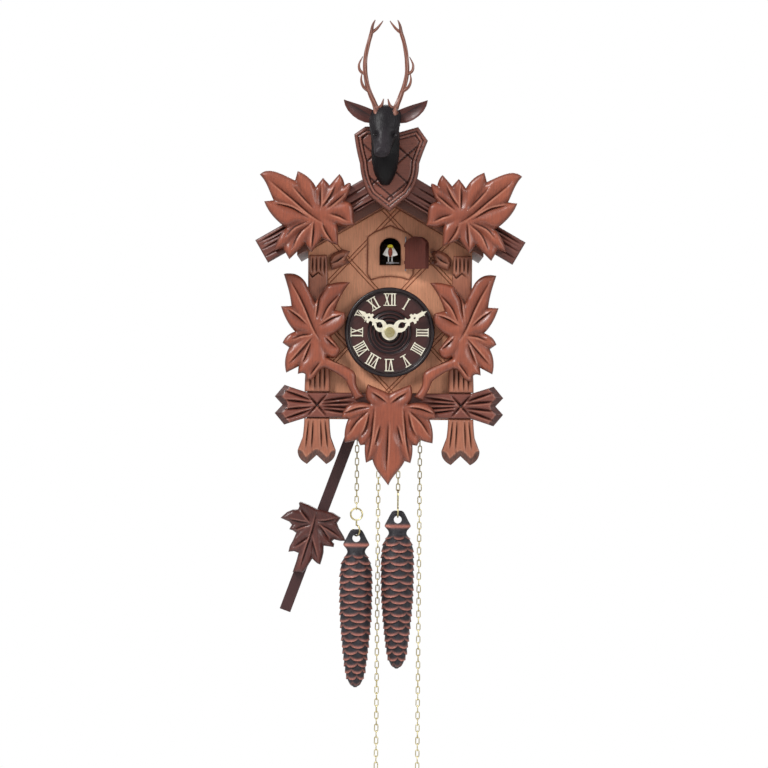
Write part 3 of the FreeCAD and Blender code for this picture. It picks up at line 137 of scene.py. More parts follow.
AMBIENT = 0.48
world = bpy.data.worlds.new("studio")
bpy.context.scene.world = world
world.use_nodes = True
world_nodes, world_links = world.node_tree.nodes, world.node_tree.links
background = world_nodes["Background"]
background.inputs["Color"].default_value = (1, 1, 1, 1)
level = world_nodes.new("ShaderNodeMapRange")
level.inputs["To Min"].default_value = AMBIENT
level.inputs["To Max"].default_value = 1.0
world_links.new(seen_directly(world_nodes, world_links), level.inputs["Value"])
world_links.new(level.outputs["Result"], background.inputs["Strength"])
print("surround: white to the camera,", AMBIENT, "to the wood")

# %% Floor
FLOOR_DROP = 0.08
FLOOR_RADIUS = 0.62
FLOOR_CORNERS = 96


def make_floor():
    """A round white floor a little below the chains."""
    mesh = bpy.data.meshes.new("floor")
    points = [(FLOOR_RADIUS * math.cos(2 * math.pi * i / FLOOR_CORNERS),
               FLOOR_RADIUS * math.sin(2 * math.pi * i / FLOOR_CORNERS),
               CAD_LOW.z - FLOOR_DROP) for i in range(FLOOR_CORNERS)]
    mesh.from_pydata(points, [], [list(range(FLOOR_CORNERS))])
    floor = bpy.data.objects.new("floor", mesh)
    bpy.context.scene.collection.objects.link(floor)
    paint = bpy.data.materials.new("floor_white")
    paint.use_nodes = True
    nodes, links = paint.node_tree.nodes, paint.node_tree.links
    shader = nodes["Principled BSDF"]
    shader.inputs["Base Color"].default_value = (0.9, 0.9, 0.9, 1)
    shader.inputs["Roughness"].default_value = 0.8
    glow = nodes.new("ShaderNodeEmission")
    mix = nodes.new("ShaderNodeMixShader")
    share = nodes.new("ShaderNodeMath")
    share.operation = "MULTIPLY"
    share.inputs[1].default_value = 0.75
    links.new(seen_directly(nodes, links), share.inputs[0])
    links.new(share.outputs[0], mix.inputs[0])
    links.new(shader.outputs[0], mix.inputs[1])
    links.new(glow.outputs[0], mix.inputs[2])
    links.new(mix.outputs[0], nodes["Material Output"].inputs["Surface"])
    mesh.materials.append(paint)


make_floor()

# %% [markdown]
# ## Shared effects
# Three effects come back in many finishes: the long grain of wood, the dark stain that a carver leaves in
# gouges and along edges together with painted shade there and a painted highlight beside the cuts, and the
# cloudy wear of cast or drawn metal. Each is a node group with named sockets, and gives only colours and
# values. The shader stays in each material.


# %% Colours and group helpers
def srgb(red, green, blue):
    """A screen colour from 0 to 255 as the linear colour that a shader wants."""
    out = []
    for part in (red, green, blue):
        share = part / 255
        out.append(share / 12.92 if share <= 0.04045 else ((share + 0.055) / 1.055) ** 2.4)
    return (*out, 1.0)


def new_group(name, inputs, outputs):
    """An empty shader group with its named sockets."""
    group = bpy.data.node_groups.new(name, "ShaderNodeTree")
    for label, kind in inputs:
        group.interface.new_socket(label, in_out="INPUT", socket_type="NodeSocket" + kind)
    for label, kind in outputs:
        group.interface.new_socket(label, in_out="OUTPUT", socket_type="NodeSocket" + kind)
    return group, group.nodes.new("NodeGroupInput"), group.nodes.new("NodeGroupOutput")


def noise(tree, vector, scale, detail=4.0):
    """A noise texture on a vector."""
    node = tree.nodes.new("ShaderNodeTexNoise")
    node.inputs["Scale"].default_value = scale
    node.inputs["Detail"].default_value = detail
    tree.links.new(vector, node.inputs["Vector"])
    return node.outputs["Fac"]


def ramp(tree, value, low, high):
    """A value stretched so that low gives 0 and high gives 1."""
    node = tree.nodes.new("ShaderNodeMapRange")
    node.inputs["From Min"].default_value = low
    node.inputs["From Max"].default_value = high
    tree.links.new(value, node.inputs["Value"])
    return node.outputs["Result"]


def mixed(tree, share, first, second, blend="MIX"):
    """Two colours mixed by a value."""
    node = tree.nodes.new("ShaderNodeMix")
    node.data_type = "RGBA"
    node.blend_type = blend
    for socket, source in ((0, share), (6, first), (7, second)):
        if isinstance(source, bpy.types.NodeSocket):
            tree.links.new(source, node.inputs[socket])
        else:
            node.inputs[socket].default_value = source
    return node.outputs[2]


def maths(tree, operation, first, second):
    """A sum on two values, either of them a socket or a number."""
    node = tree.nodes.new("ShaderNodeMath")
    node.operation = operation
    for socket, source in enumerate((first, second)):
        if isinstance(source, bpy.types.NodeSocket):
            tree.links.new(source, node.inputs[socket])
        else:
            node.inputs[socket].default_value = source
    return node.outputs[0]


# %% Grain, stain and mottle groups
def make_grain_group():
    """Long fibres and short pores; the vector arrives stretched along the grain."""
    group, given, result = new_group("long_grain", [("Vector", "Vector")],
                                     [("Fibre", "Float"), ("Pore", "Float")])
    fibre = noise(group, given.outputs["Vector"], 1.0, 6.0)
    pore = noise(group, given.outputs["Vector"], 3.4, 3.0)
    group.links.new(ramp(group, fibre, 0.32, 0.68), result.inputs["Fibre"])
    group.links.new(ramp(group, pore, 0.60, 0.74), result.inputs["Pore"])
    return group


def make_stain_shade_group():
    """Dark stain with painted shade in gouges and near edges, and a pale painted highlight on crests, from painted
    values.
    """
    group, given, result = new_group(
        "stain_shade_and_highlight", [("Wood", "Color"), ("Stain and shade", "Color"), ("Highlight", "Color"), ("Fibre", "Float")],
        [("Color", "Color"), ("Roughness", "Float")])
    painted = []
    for name in ("stain_and_shade", "highlight_and_rub"):
        node = group.nodes.new("ShaderNodeAttribute")
        node.attribute_name = name
        painted.append(node.outputs["Fac"])
    broken = maths(group, "MULTIPLY_ADD", given.outputs["Fibre"], 0.30)
    broken.node.inputs[2].default_value = 0.85
    dark = maths(group, "MULTIPLY", painted[0], broken)
    colour = mixed(group, maths(group, "MINIMUM", dark, 1.0), given.outputs["Wood"], given.outputs["Stain and shade"])
    colour = mixed(group, maths(group, "MULTIPLY", painted[1], 0.8), colour, given.outputs["Highlight"])
    group.links.new(colour, result.inputs["Color"])
    shine = maths(group, "MULTIPLY_ADD", given.outputs["Fibre"], 0.12)
    shine.node.inputs[2].default_value = 0.36
    group.links.new(shine, result.inputs["Roughness"])
    return group


def make_mottle_group():
    """Cloudy light and dark patches for metal and paint."""
    group, given, result = new_group("mottle", [("Vector", "Vector"), ("Scale", "Float")],
                                     [("Cloud", "Float"), ("Speck", "Float")])
    for label, factor, low, high in (("Cloud", 1.0, 0.3, 0.7), ("Speck", 6.0, 0.45, 0.75)):
        node = group.nodes.new("ShaderNodeTexNoise")
        node.inputs["Detail"].default_value = 5.0
        group.links.new(given.outputs["Vector"], node.inputs["Vector"])
        group.links.new(maths(group, "MULTIPLY", given.outputs["Scale"], factor), node.inputs["Scale"])
        group.links.new(ramp(group, node.outputs["Fac"], low, high), result.inputs[label])
    return group


GRAIN, STAIN_SHADE_HIGHLIGHT, MOTTLE = make_grain_group(), make_stain_shade_group(), make_mottle_group()
print("groups:", GRAIN.name, STAIN_SHADE_HIGHLIGHT.name, MOTTLE.name)


# %% Wood, metal and paint makers
def new_material(name):
    """A material, its tree, its shader and its object coordinates."""
    material = bpy.data.materials.new(name)
    material.use_nodes = True
    tree = material.node_tree
    place = tree.nodes.new("ShaderNodeTexCoord").outputs["Object"]
    return material, tree, tree.nodes["Principled BSDF"], place


def placed_group(tree, group):
    """A shared group placed in a material."""
    node = tree.nodes.new("ShaderNodeGroup")
    node.node_tree = group
    return node


def add_bump(tree, shader, height, depth):
    """Fine relief, depth in metres."""
    bump = tree.nodes.new("ShaderNodeBump")
    bump.inputs["Distance"].default_value = depth
    tree.links.new(height, bump.inputs["Height"])
    tree.links.new(bump.outputs["Normal"], shader.inputs["Normal"])


ALONG_Z, ALONG_X, ALONG_Y = (900, 900, 70), (70, 900, 900), (900, 70, 900)


def wood(name, colour, stain_and_shade, highlight_and_rub, along=ALONG_Z, lean=0.0, gloss=0.4, coat=0.45, streak=0.6, patch=0.4):
    """A stained and lacquered wood; lean turns its grain about Y, and patch is how cloudy its stain is."""
    material, tree, shader, place = new_material(name)
    mapping = tree.nodes.new("ShaderNodeMapping")
    mapping.inputs["Scale"].default_value = along
    turned = tree.nodes.new("ShaderNodeMapping")
    turned.inputs["Rotation"].default_value = (0, math.radians(lean), 0)
    tree.links.new(place, turned.inputs["Vector"])
    tree.links.new(turned.outputs["Vector"], mapping.inputs["Vector"])
    grain = placed_group(tree, GRAIN)
    tree.links.new(mapping.outputs["Vector"], grain.inputs["Vector"])
    body = mixed(tree, maths(tree, "MULTIPLY", grain.outputs["Fibre"], streak), srgb(*colour),
                 srgb(*[0.76 * part for part in colour]))
    body = mixed(tree, maths(tree, "MULTIPLY", grain.outputs["Pore"], 0.35), body,
                 srgb(*[0.5 * part for part in colour]))
    cloud = placed_group(tree, MOTTLE)
    tree.links.new(place, cloud.inputs["Vector"])
    cloud.inputs["Scale"].default_value = 42.0
    body = mixed(tree, maths(tree, "MULTIPLY", cloud.outputs["Cloud"], patch), body,
                 srgb(*[share * part for share, part in zip((0.66, 0.52, 0.50), colour)]))
    # The stain colour darkens cuts and edges as stain and painted shade; the crest colour is a painted highlight.
    stained_and_lit = placed_group(tree, STAIN_SHADE_HIGHLIGHT)
    tree.links.new(body, stained_and_lit.inputs["Wood"])
    stained_and_lit.inputs["Stain and shade"].default_value = srgb(*stain_and_shade)
    stained_and_lit.inputs["Highlight"].default_value = srgb(*highlight_and_rub)
    tree.links.new(grain.outputs["Fibre"], stained_and_lit.inputs["Fibre"])
    tree.links.new(stained_and_lit.outputs["Color"], shader.inputs["Base Color"])
    tree.links.new(stained_and_lit.outputs["Roughness"], shader.inputs["Roughness"])
    shader.inputs["Specular IOR Level"].default_value = gloss
    shader.inputs["Coat Weight"].default_value = coat
    shader.inputs["Coat Roughness"].default_value = 0.27
    height = maths(tree, "SUBTRACT", grain.outputs["Fibre"], grain.outputs["Pore"])
    add_bump(tree, shader, height, 0.00006)
    return material


def metal(name, colour, shadow, roughness, scale=180.0, metallic=1.0):
    """A metal with cloudy tarnish."""
    material, tree, shader, place = new_material(name)
    cloud = placed_group(tree, MOTTLE)
    tree.links.new(place, cloud.inputs["Vector"])
    cloud.inputs["Scale"].default_value = scale
    tree.links.new(mixed(tree, cloud.outputs["Cloud"], srgb(*colour), srgb(*shadow)),
                   shader.inputs["Base Color"])
    worn = maths(tree, "MULTIPLY_ADD", cloud.outputs["Cloud"], 0.2)
    worn.node.inputs[2].default_value = roughness
    tree.links.new(worn, shader.inputs["Roughness"])
    shader.inputs["Metallic"].default_value = metallic
    add_bump(tree, shader, cloud.outputs["Speck"], 0.00003)
    return material


def paint(name, colour, shadow, roughness=0.45, scale=400.0, gloss=0.4):
    """Brushed paint or moulded plastic, slightly uneven."""
    material = metal(name, colour, shadow, roughness, scale, 0.0)
    material.node_tree.nodes["Principled BSDF"].inputs["Specular IOR Level"].default_value = gloss
    return material


# %% The finishes
FINISH = {
    "case_wood": wood("case_wood", (128, 76, 58), (60, 34, 28), (160, 110, 90), ALONG_Y),
    "back_wood": wood("back_wood", (176, 140, 104), (110, 80, 56), (200, 170, 130), ALONG_X, coat=0.0),
    "carved_wood": wood("carved_wood", (172, 92, 66), (48, 20, 16), (216, 150, 124)),
    "post_wood": wood("post_wood", (186, 116, 88), (42, 20, 18), (216, 158, 132)),
    "shield_wood": wood("shield_wood", (142, 82, 66), (44, 22, 22), (178, 120, 104), ALONG_X),
    "stag_wood": wood("stag_wood", (32, 29, 33), (12, 10, 12), (74, 66, 72), gloss=0.22, coat=0.0),
    "antler_wood": wood("antler_wood", (158, 98, 78), (74, 34, 28), (206, 152, 130)),
    "dial_wood": wood("dial_wood", (76, 40, 38), (26, 16, 20), (112, 78, 78), ALONG_X, lean=38.0, gloss=0.3),
    "ivory_plastic": paint("ivory_plastic", (240, 235, 216), (226, 218, 194), 0.4),
    "brass": metal("brass", (226, 216, 168), (176, 158, 100), 0.3),
    "steel": metal("steel", (172, 172, 176), (120, 118, 120), 0.32),
    "gong_steel": metal("gong_steel", (92, 96, 112), (60, 62, 76), 0.35),
    "bird_paint": paint("bird_paint", (236, 234, 228), (214, 210, 202)),
    "door_wood": wood("door_wood", (104, 56, 48), (60, 28, 26), (130, 82, 70), gloss=0.25, coat=0.0),
    "guide_wood": wood("guide_wood", (190, 156, 116), (120, 90, 62), (206, 178, 140), coat=0.0),
    "bellows_cloth": paint("bellows_cloth", (214, 204, 184), (186, 172, 148), 0.85, 900.0, 0.1),
    "weight_iron": metal("weight_iron", (50, 48, 54), (24, 20, 24), 0.5, 300.0, 0.0),
    "pendulum_wood": wood("pendulum_wood", (78, 46, 46), (40, 24, 26), (110, 76, 74), lean=20.2, gloss=0.35),
    "bob_wood": wood("bob_wood", (112, 58, 50), (36, 18, 18), (168, 112, 98), lean=20.2),
}
panel_wood = wood("panel_wood", (242, 172, 134), (104, 46, 34), (250, 188, 152), gloss=0.3, coat=0.05, streak=0.45,
                  patch=0.2)
bar_wood = wood("bar_wood", (138, 76, 62), (34, 16, 17), (196, 134, 114), ALONG_X)
log_wood = wood("log_wood", (128, 72, 60), (40, 20, 20), (172, 118, 102), ALONG_X)
print("finishes:", len(FINISH) + 3)

# %% [markdown]
# ## Making meshes
# Every piece is worked out as points and faces in millimetres and handed to one function. That function
# also stores the painted values that the stain group reads, dark stain with painted shade and painted
# highlights, marks sharp edges by their angle, and puts the piece on its CAD body.


# %% One way to make a piece
SHARP = math.radians(38)
made = []


def piece(name, points, faces, material, body, replaces=(), painted=None, sharp=SHARP):
    """A mesh piece from points in millimetres."""
    mesh = bpy.data.meshes.new(name)
    mesh.from_pydata((np.asarray(points, float) * MM).tolist(), [], [list(map(int, f)) for f in faces])
    mesh.shade_smooth()
    mesh.set_sharp_from_angle(angle=sharp)
    for label, values in (painted or {}).items():
        layer = mesh.attributes.new(label, "FLOAT", "POINT")
        layer.data.foreach_set("value", np.asarray(values, np.float32))
    mesh.materials.append(material)
    thing = bpy.data.objects.new(name, mesh)
    bpy.context.scene.collection.objects.link(thing)
    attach(thing, body)
    if replaces:
        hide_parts(*replaces)
    made.append(name)
    return thing


def joined(parts):
    """Several (points, faces) pairs as one."""
    points, faces, start = [], [], 0
    for part_points, part_faces in parts:
        points.append(np.asarray(part_points, float))
        faces += [[start + i for i in face] for face in part_faces]
        start += len(part_points)
    return np.vstack(points), faces


def smooth_line(corners, spacing=0.6):
    """A smooth line through the corners, sampled evenly enough for carving."""
    corners = np.asarray(corners, float)
    before = np.vstack([2 * corners[0] - corners[1], corners, 2 * corners[-1] - corners[-2]])
    out = []
    for i in range(len(corners) - 1):
        a, b, c, d = before[i:i + 4]
        count = max(2, int(np.linalg.norm(c - b) / spacing))
        for t in np.linspace(0, 1, count, endpoint=False):
            out.append(0.5 * (2 * b + (c - a) * t + (2 * a - 5 * b + 4 * c - d) * t * t
                              + (3 * b - a - 3 * c + d) * t ** 3))
    return np.array(out + [corners[-1]])


def grid_faces(rows, columns, closed=True):
    """Quads over a grid of points stored row by row; closed rows join their ends."""
    last = columns if closed else columns - 1
    return [[r * columns + c, r * columns + (c + 1) % columns,
             (r + 1) * columns + (c + 1) % columns, (r + 1) * columns + c]
            for r in range(rows - 1) for c in range(last)]


def tube(line, radii, around=10, flat=(1.0, 1.0)):
    """A tapering tube along a line of points, closed at both ends."""
    line = np.asarray(line, float)
    ahead = np.gradient(line, axis=0)
    ahead /= np.linalg.norm(ahead, axis=1)[:, None]
    side = np.cross(ahead[0], (0, 0, 1) if abs(ahead[0][2]) < 0.9 else (1, 0, 0))
    rings = []
    for centre, forward, radius in zip(line, ahead, np.broadcast_to(radii, len(line))):
        side = side - forward * (side @ forward)
        side = side / np.linalg.norm(side)
        over = np.cross(forward, side)
        angles = np.linspace(0, 2 * math.pi, around, endpoint=False)
        rings.append(centre + radius * (flat[0] * np.cos(angles)[:, None] * side
                                        + flat[1] * np.sin(angles)[:, None] * over))
    faces = grid_faces(len(line), around)
    faces.append(list(range(around))[::-1])
    faces.append([(len(line) - 1) * around + i for i in range(around)])
    return np.vstack(rings), faces


# %% [markdown]
# ## Carved boards
# A carver saws the outline from a board, then cuts the face down: rounded edges, a gouge along each vein
# with one steep and one gentle side, and shallow valleys from the notches between lobes. Displacing a
# subdivided plane would blur those cuts. Here the sawn outline is read from the CAD board, its face is
# filled with triangles whose points follow the edge and every vein, and each point is cut to its depth.


# %% Reading a sawn outline
def front_loops(node):
    """The closed outlines of a board's flat front, as arrays of (x, z), outer ones anticlockwise."""
    mesh = frame["nodes"][node].data
    front = min(vertex.co.y for vertex in mesh.vertices)
    edges = set()
    for face in mesh.polygons:
        corners = [mesh.vertices[i].co for i in face.vertices]
        if all(corner.y < front + 0.01 * MM for corner in corners):
            keys = [(round(c.x / MM, 3), round(c.z / MM, 3)) for c in corners]
            edges |= set(zip(keys, keys[1:] + keys[:1]))
    following = {a: b for a, b in edges if (b, a) not in edges}
    loops = []
    while following:
        start = next(iter(following))
        loop = [start]
        following_point = following.pop(start)
        while following_point != start:
            loop.append(following_point)
            following_point = following.pop(following_point)
        loops.append(np.array(loop))
    return sorted(loops, key=len, reverse=True)


def resampled(loop, spacing):
    """The loop with long edges divided."""
    out = []
    for a, b in zip(loop, np.roll(loop, -1, axis=0)):
        count = max(1, int(math.ceil(np.linalg.norm(b - a) / spacing)))
        out += [a + (b - a) * i / count for i in range(count)]
    return np.array(out)


REACH = 9.0


def measure(points, starts, ends):
    """Distance to the nearest segment, up to REACH, its side, and the segment's number and share."""
    order = np.argsort(points[:, 0])
    sorted_points = points[order]
    xs = sorted_points[:, 0]
    distance = np.full(len(points), REACH)
    side, which, share = np.zeros(len(points)), np.zeros(len(points), int), np.zeros(len(points))
    for i, (a, b) in enumerate(zip(starts, ends)):
        run = b - a
        length = run @ run
        if length < 1e-12:
            continue
        first = np.searchsorted(xs, min(a[0], b[0]) - REACH)
        last = np.searchsorted(xs, max(a[0], b[0]) + REACH)
        local = sorted_points[first:last]
        t = np.clip(((local - a) @ run) / length, 0, 1)
        gap = local - a - t[:, None] * run
        d = np.hypot(gap[:, 0], gap[:, 1])
        near = np.nonzero(d < distance[first:last])[0]
        to = first + near
        distance[to], which[to], share[to] = d[near], i, t[near]
        side[to] = np.sign(run[0] * gap[near, 1] - run[1] * gap[near, 0])
    back = np.argsort(order)
    return distance[back], side[back], which[back], share[back]


def inside(points, loops):
    """True for points within the outlines and outside their holes."""
    result = np.zeros(len(points), bool)
    for loop in loops:
        for a, b in zip(loop, np.roll(loop, -1, axis=0)):
            crosses = (a[1] > points[:, 1]) != (b[1] > points[:, 1])
            if crosses.any():
                x = a[0] + (points[:, 1] - a[1]) * (b[0] - a[0]) / ((b[1] - a[1]) or 1e-12)
                result ^= crosses & (points[:, 0] < x)
    return result


# %% Cutting the face
RINGS = (0.3, 0.7, 1.2, 1.9)
BESIDE_CUT = (0.35, 0.8, 1.5)


def face_points(loops, lines, spacing):
    """Points for a carved face: rings inside the edge, rows beside each cut, and a fill between."""
    starts = np.vstack(loops)
    ends = np.vstack([np.roll(loop, -1, axis=0) for loop in loops])
    wanted = []
    for loop in loops:
        ahead = np.roll(loop, -1, axis=0) - np.roll(loop, 1, axis=0)
        ahead /= np.maximum(np.linalg.norm(ahead, axis=1), 1e-9)[:, None]
        inward = np.stack([-ahead[:, 1], ahead[:, 0]], axis=1)
        for ring in RINGS:
            candidates = loop + ring * inward
            d = measure(candidates, starts, ends)[0]
            wanted.append(candidates[(d > 0.93 * ring) & inside(candidates, loops)])
    for line in lines:
        ahead = np.gradient(line, axis=0)
        ahead /= np.linalg.norm(ahead, axis=1)[:, None]
        across = np.stack([-ahead[:, 1], ahead[:, 0]], axis=1)
        for offset in (0,) + BESIDE_CUT:
            for sign in ((1, -1) if offset else (1,)):
                candidates = line + sign * offset * across
                candidates = candidates[inside(candidates, loops)]
                if len(candidates):
                    d = measure(candidates, starts, ends)[0]
                    wanted.append(candidates[d > 0.25])
    low, high = starts.min(0), starts.max(0)
    xs = np.arange(low[0], high[0], spacing)
    zs = np.arange(low[1], high[1], spacing * 0.866)
    fill = np.array([(x + (spacing / 2 if i % 2 else 0), z) for i, z in enumerate(zs) for x in xs])
    fill = fill[inside(fill, loops)]
    keep = measure(fill, starts, ends)[0] > RINGS[-1] + 0.4 * spacing
    fill = fill[keep]
    for line in lines:
        if len(fill):
            fill = fill[measure(fill, line[:-1], line[1:])[0] > BESIDE_CUT[-1] + 0.2 * spacing]
    return np.vstack(wanted + [fill]), starts, ends


COARSER = 1.0


def carve(node, cut, lines=(), spacing=1.0, outline_spacing=0.7):
    """A CAD board carved on its own outline."""
    low, high = mm_box(node)
    return carve_board(front_loops(node), low[1], high[1], cut, lines, spacing, outline_spacing)


def carve_board(outlines, front, back, cut, lines=(), spacing=1.0, outline_spacing=0.7):
    """Points, faces and painted values of a board whose face is cut by a depth function.

    cut(points, edge_distance) gives depth in millimetres, the stain with painted shade, and the painted highlight
    for each point."""
    spacing, outline_spacing = spacing * COARSER, outline_spacing * COARSER
    loops = [resampled(np.asarray(loop, float), outline_spacing) for loop in outlines]
    extra, starts, ends = face_points(loops, lines, spacing)
    rim = np.vstack(loops)
    firsts = np.cumsum([0] + [len(loop) for loop in loops])
    edges = [(first + i, first + (i + 1) % len(loop))
             for first, loop in zip(firsts, loops) for i in range(len(loop))]
    coordinates = [Vector(p) for p in np.vstack([rim, extra])]
    flat, _, triangles, _, _, _ = delaunay_2d_cdt(coordinates, edges, [], 0, 1e-4)
    flat = np.array([tuple(p) for p in flat])
    triangles = np.array(triangles)
    triangles = triangles[inside(flat[triangles].mean(axis=1), loops)]
    edge_distance = measure(flat, starts, ends)[0]
    depth, stain_and_shade, highlight_and_rub = cut(flat, edge_distance)
    depth = np.clip(depth, 0.0, (back - front) - 0.6)
    points = np.stack([flat[:, 0], front + depth, flat[:, 1]], axis=1)
    used = {}
    for a, b, c in triangles:
        for one, two in ((a, b), (b, c), (c, a)):
            used[(one, two)] = True
    border = [edge for edge in used if (edge[1], edge[0]) not in used]
    ids = sorted({i for edge in border for i in edge})
    behind = {i: len(points) + k for k, i in enumerate(ids)}
    rear = np.array([(points[i][0], back, points[i][2]) for i in ids])
    faces = [[a, b, c] for a, b, c in triangles]
    faces += [[b, a, behind[a], behind[b]] for a, b in border]
    rear_flat = [Vector((p[0], p[2])) for p in rear]
    order = {i: k for k, i in enumerate(ids)}
    rear_edges = [(order[a], order[b]) for a, b in border]
    _, _, rear_triangles, _, _, _ = delaunay_2d_cdt(rear_flat, rear_edges, [], 0, 1e-6)
    rear_xz = rear[:, [0, 2]]
    rear_triangles = [t for t in rear_triangles if max(t) < len(rear)]
    keep = inside(rear_xz[np.array(rear_triangles)].mean(axis=1), loops)
    faces += [[len(points) + t[2], len(points) + t[1], len(points) + t[0]]
              for t, ok in zip(rear_triangles, keep) if ok]
    painted = {"stain_and_shade": np.concatenate([stain_and_shade, np.full(len(rear), 0.6)]),
               "highlight_and_rub": np.concatenate([highlight_and_rub, np.zeros(len(rear))])}
    return np.vstack([points, rear]), faces, painted


# %% Cuts that carvers repeat
def rounded_edge(distance, width, drop):
    """Depth of a quarter round that falls to the edge."""
    share = np.clip(1 - distance / width, 0, 1)
    return drop * (1 - np.sqrt(np.clip(1 - share ** 2, 0, 1)))


def groove(points, line, depth, near, far, lens=True, lean=1):
    """Depth, darkening and pale lip of one gouge: steep within near on one side, gentle within far on the other. The
    darkening is stain and painted shade in the cut, the lip a painted highlight.
    """
    distance, side, which, share = measure(points, line[:-1], line[1:])
    steps = np.linalg.norm(np.diff(line, axis=0), axis=1)
    along = (np.concatenate([[0], np.cumsum(steps)])[which] + share * steps[which]) / steps.sum()
    swell = np.sin(math.pi * np.clip(along, 0.02, 0.98)) ** 0.6 if lens else np.ones(len(points))
    reach = np.where(side * lean > 0, far, near) * (0.45 + 0.55 * swell)
    profile = np.clip(1 - distance / reach, 0, 1) ** np.where(side * lean > 0, 1.5, 1.0)
    # Dark in the cut: stain and painted shade.
    dark = np.exp(-(distance / (0.55 * near + 0.25)) ** 2) * swell
    # The pale lip beside the steep side is a painted highlight.
    lip = np.exp(-((distance - near - 0.35) / 0.4) ** 2) * (side * lean <= 0) * swell
    return depth * swell * profile, dark, lip


def leaf_cut(veins, centre, notches, gouge=2.4, round_width=4.2, drop=3.4, hollow=2.2):
    """The cut function of a carved leaf: veins, valleys from its notches and a falling edge, with stain and painted
    shade in the cuts, valleys and along the edge, and painted highlights beside the veins.
    """
    def cut(points, edge):
        depth = np.zeros(len(points))
        # Darker where the edge falls away: stain and painted shade.
        stain_and_shade = 0.55 * np.exp(-(edge / 1.6) ** 2)
        highlight_and_rub = np.zeros(len(points))
        for line, lean in veins:
            d, dark, lip = groove(points, line, gouge, 0.9, 6.0, lean=lean)
            depth = np.maximum(depth, d)
            stain_and_shade = np.maximum(stain_and_shade, np.maximum(dark, 0.42 * d / gouge))
            highlight_and_rub = np.maximum(highlight_and_rub, lip)
        for notch in notches:
            line = np.linspace(notch, notch + 0.7 * (centre - notch), 12)
            distance, _, which, share = measure(points, line[:-1], line[1:])
            fade = 1 - (which + share) / (len(line) - 1)
            valley = hollow * np.clip(1 - distance / 4.8, 0, 1) ** 1.6 * (0.2 + 0.8 * fade)
            depth = depth + valley
            # Painted shade in each valley from a notch.
            stain_and_shade = np.maximum(stain_and_shade, 0.6 * np.clip(1 - distance / 2.8, 0, 1) * fade)
        depth = depth + rounded_edge(edge, round_width, drop)
        return depth, stain_and_shade, highlight_and_rub * np.clip(edge / 2, 0, 1)
    return cut


def corners_of(loop, inner, angle=40.0):
    """The sharp corners of an outline: its notches if inner, or else its tips."""
    before = loop - np.roll(loop, 1, axis=0)
    after = np.roll(loop, -1, axis=0) - loop
    bend = np.degrees(np.arctan2(before[:, 0] * after[:, 1] - before[:, 1] * after[:, 0],
                                 (before * after).sum(axis=1)))
    return loop[bend < -angle] if inner else loop[bend > angle]


# %% [markdown]
# ### The leaves
# Each leaf's veins are drawn as short runs from a lobe's tip towards the leaf's heart. The number after a
# vein says to which side its gentle slope falls. The right leaves are the left ones mirrored.

# %% Vein lines
TOP_VEINS = [
    ([(-92.5, 35), (-76, 21.5), (-63, 10.5), (-51, 2.5)], 1), ([(-74.5, 30.5), (-66.5, 21.5), (-58.5, 13.5)], 1),
    ([(-54, 31), (-54, 13.5)], -1), ([(-42.5, 31), (-46.5, 23), (-52.5, 14.5)], 1),
    ([(-34.5, 26), (-42, 19.5), (-49.5, 13.5)], -1), ([(-32.5, 4.5), (-39.5, 8), (-46.5, 10)], -1),
    ([(-43, -13), (-49, -4.5), (-52, 2.5)], -1), ([(-60, -16.5), (-58.5, 3)], -1),
    ([(-75.5, -17.5), (-70, -5.5), (-60.5, 3)], 1), ([(-80.5, -8), (-73.5, -0.5), (-63, 4)], 1),
    ([(-89, 17), (-76, 14), (-63.5, 6.5)], -1)]
SIDE_VEINS = [
    ([(-77.5, -39.5), (-70.5, -51.5), (-65, -63), (-59.5, -76), (-53.5, -87)], 1),
    ([(-48.5, -44.5), (-54.5, -54), (-56, -63), (-57, -71)], 1), ([(-38.5, -50), (-48, -60.5), (-53.5, -72)], -1),
    ([(-37, -67), (-45.5, -70), (-53.5, -75)], 1), ([(-41, -93), (-50, -84.5)], 1),
    ([(-62, -114.5), (-54, -103.5)], 1), ([(-67, -104.5), (-60.5, -88)], -1),
    ([(-77, -104.5), (-67, -93), (-60, -85)], -1), ([(-75.5, -86), (-68.5, -83), (-60.5, -82)], 1),
    ([(-79.5, -63), (-71.5, -68.5), (-64.5, -75)], -1), ([(-48, -100.5), (-41, -103.5), (-33.5, -106)], 1)]
BOTTOM_VEINS = [
    ([(-35, -143.5), (-24.5, -139.5), (-15, -138.5)], -1), ([(-32, -160), (-25, -149.5), (-15.5, -140.5)], 1),
    ([(-21, -160.5), (-17.5, -153.5), (-15, -143)], -1), ([(-17, -179.5), (-14, -164), (-11.5, -138.5)], 1),
    ([(-10.5, -168), (-6.5, -152.5)], -1), ([(-13.5, -127), (-7, -131), (-2, -135)], -1)]
MIDDLE_VEIN = [([(-2, -188), (-1, -170), (-0.5, -150)], 1)]


def mirrored(veins):
    """The same veins on the other side of the clock."""
    return [([(-x, z) for x, z in line], -lean) for line, lean in veins]


def carved_leaf(node, veins, centre, body="case", slot="carved_wood", **cuts):
    """Replace a fretted leaf board with its carved self."""
    lines = [(smooth_line(line), lean) for line, lean in veins]
    notches = corners_of(front_loops(node)[0], inner=True)
    cut = leaf_cut(lines, np.array(centre), notches, **cuts)
    points, faces, painted = carve(node, cut, [line for line, _ in lines])
    return piece(node + "_carved", points, faces, FINISH[slot], body, [node], painted, math.radians(50))


carved_leaf("top_leaf_left", TOP_VEINS, (-57, 9))
carved_leaf("top_leaf_right", mirrored(TOP_VEINS), (57, 9))
carved_leaf("side_leaf_left", SIDE_VEINS, (-58, -80))
carved_leaf("side_leaf_right", mirrored(SIDE_VEINS), (58, -80))
carved_leaf("bottom_leaf", BOTTOM_VEINS + mirrored(BOTTOM_VEINS) + MIDDLE_VEIN, (0, -138), hollow=1.2)
print("leaves:", len(made))
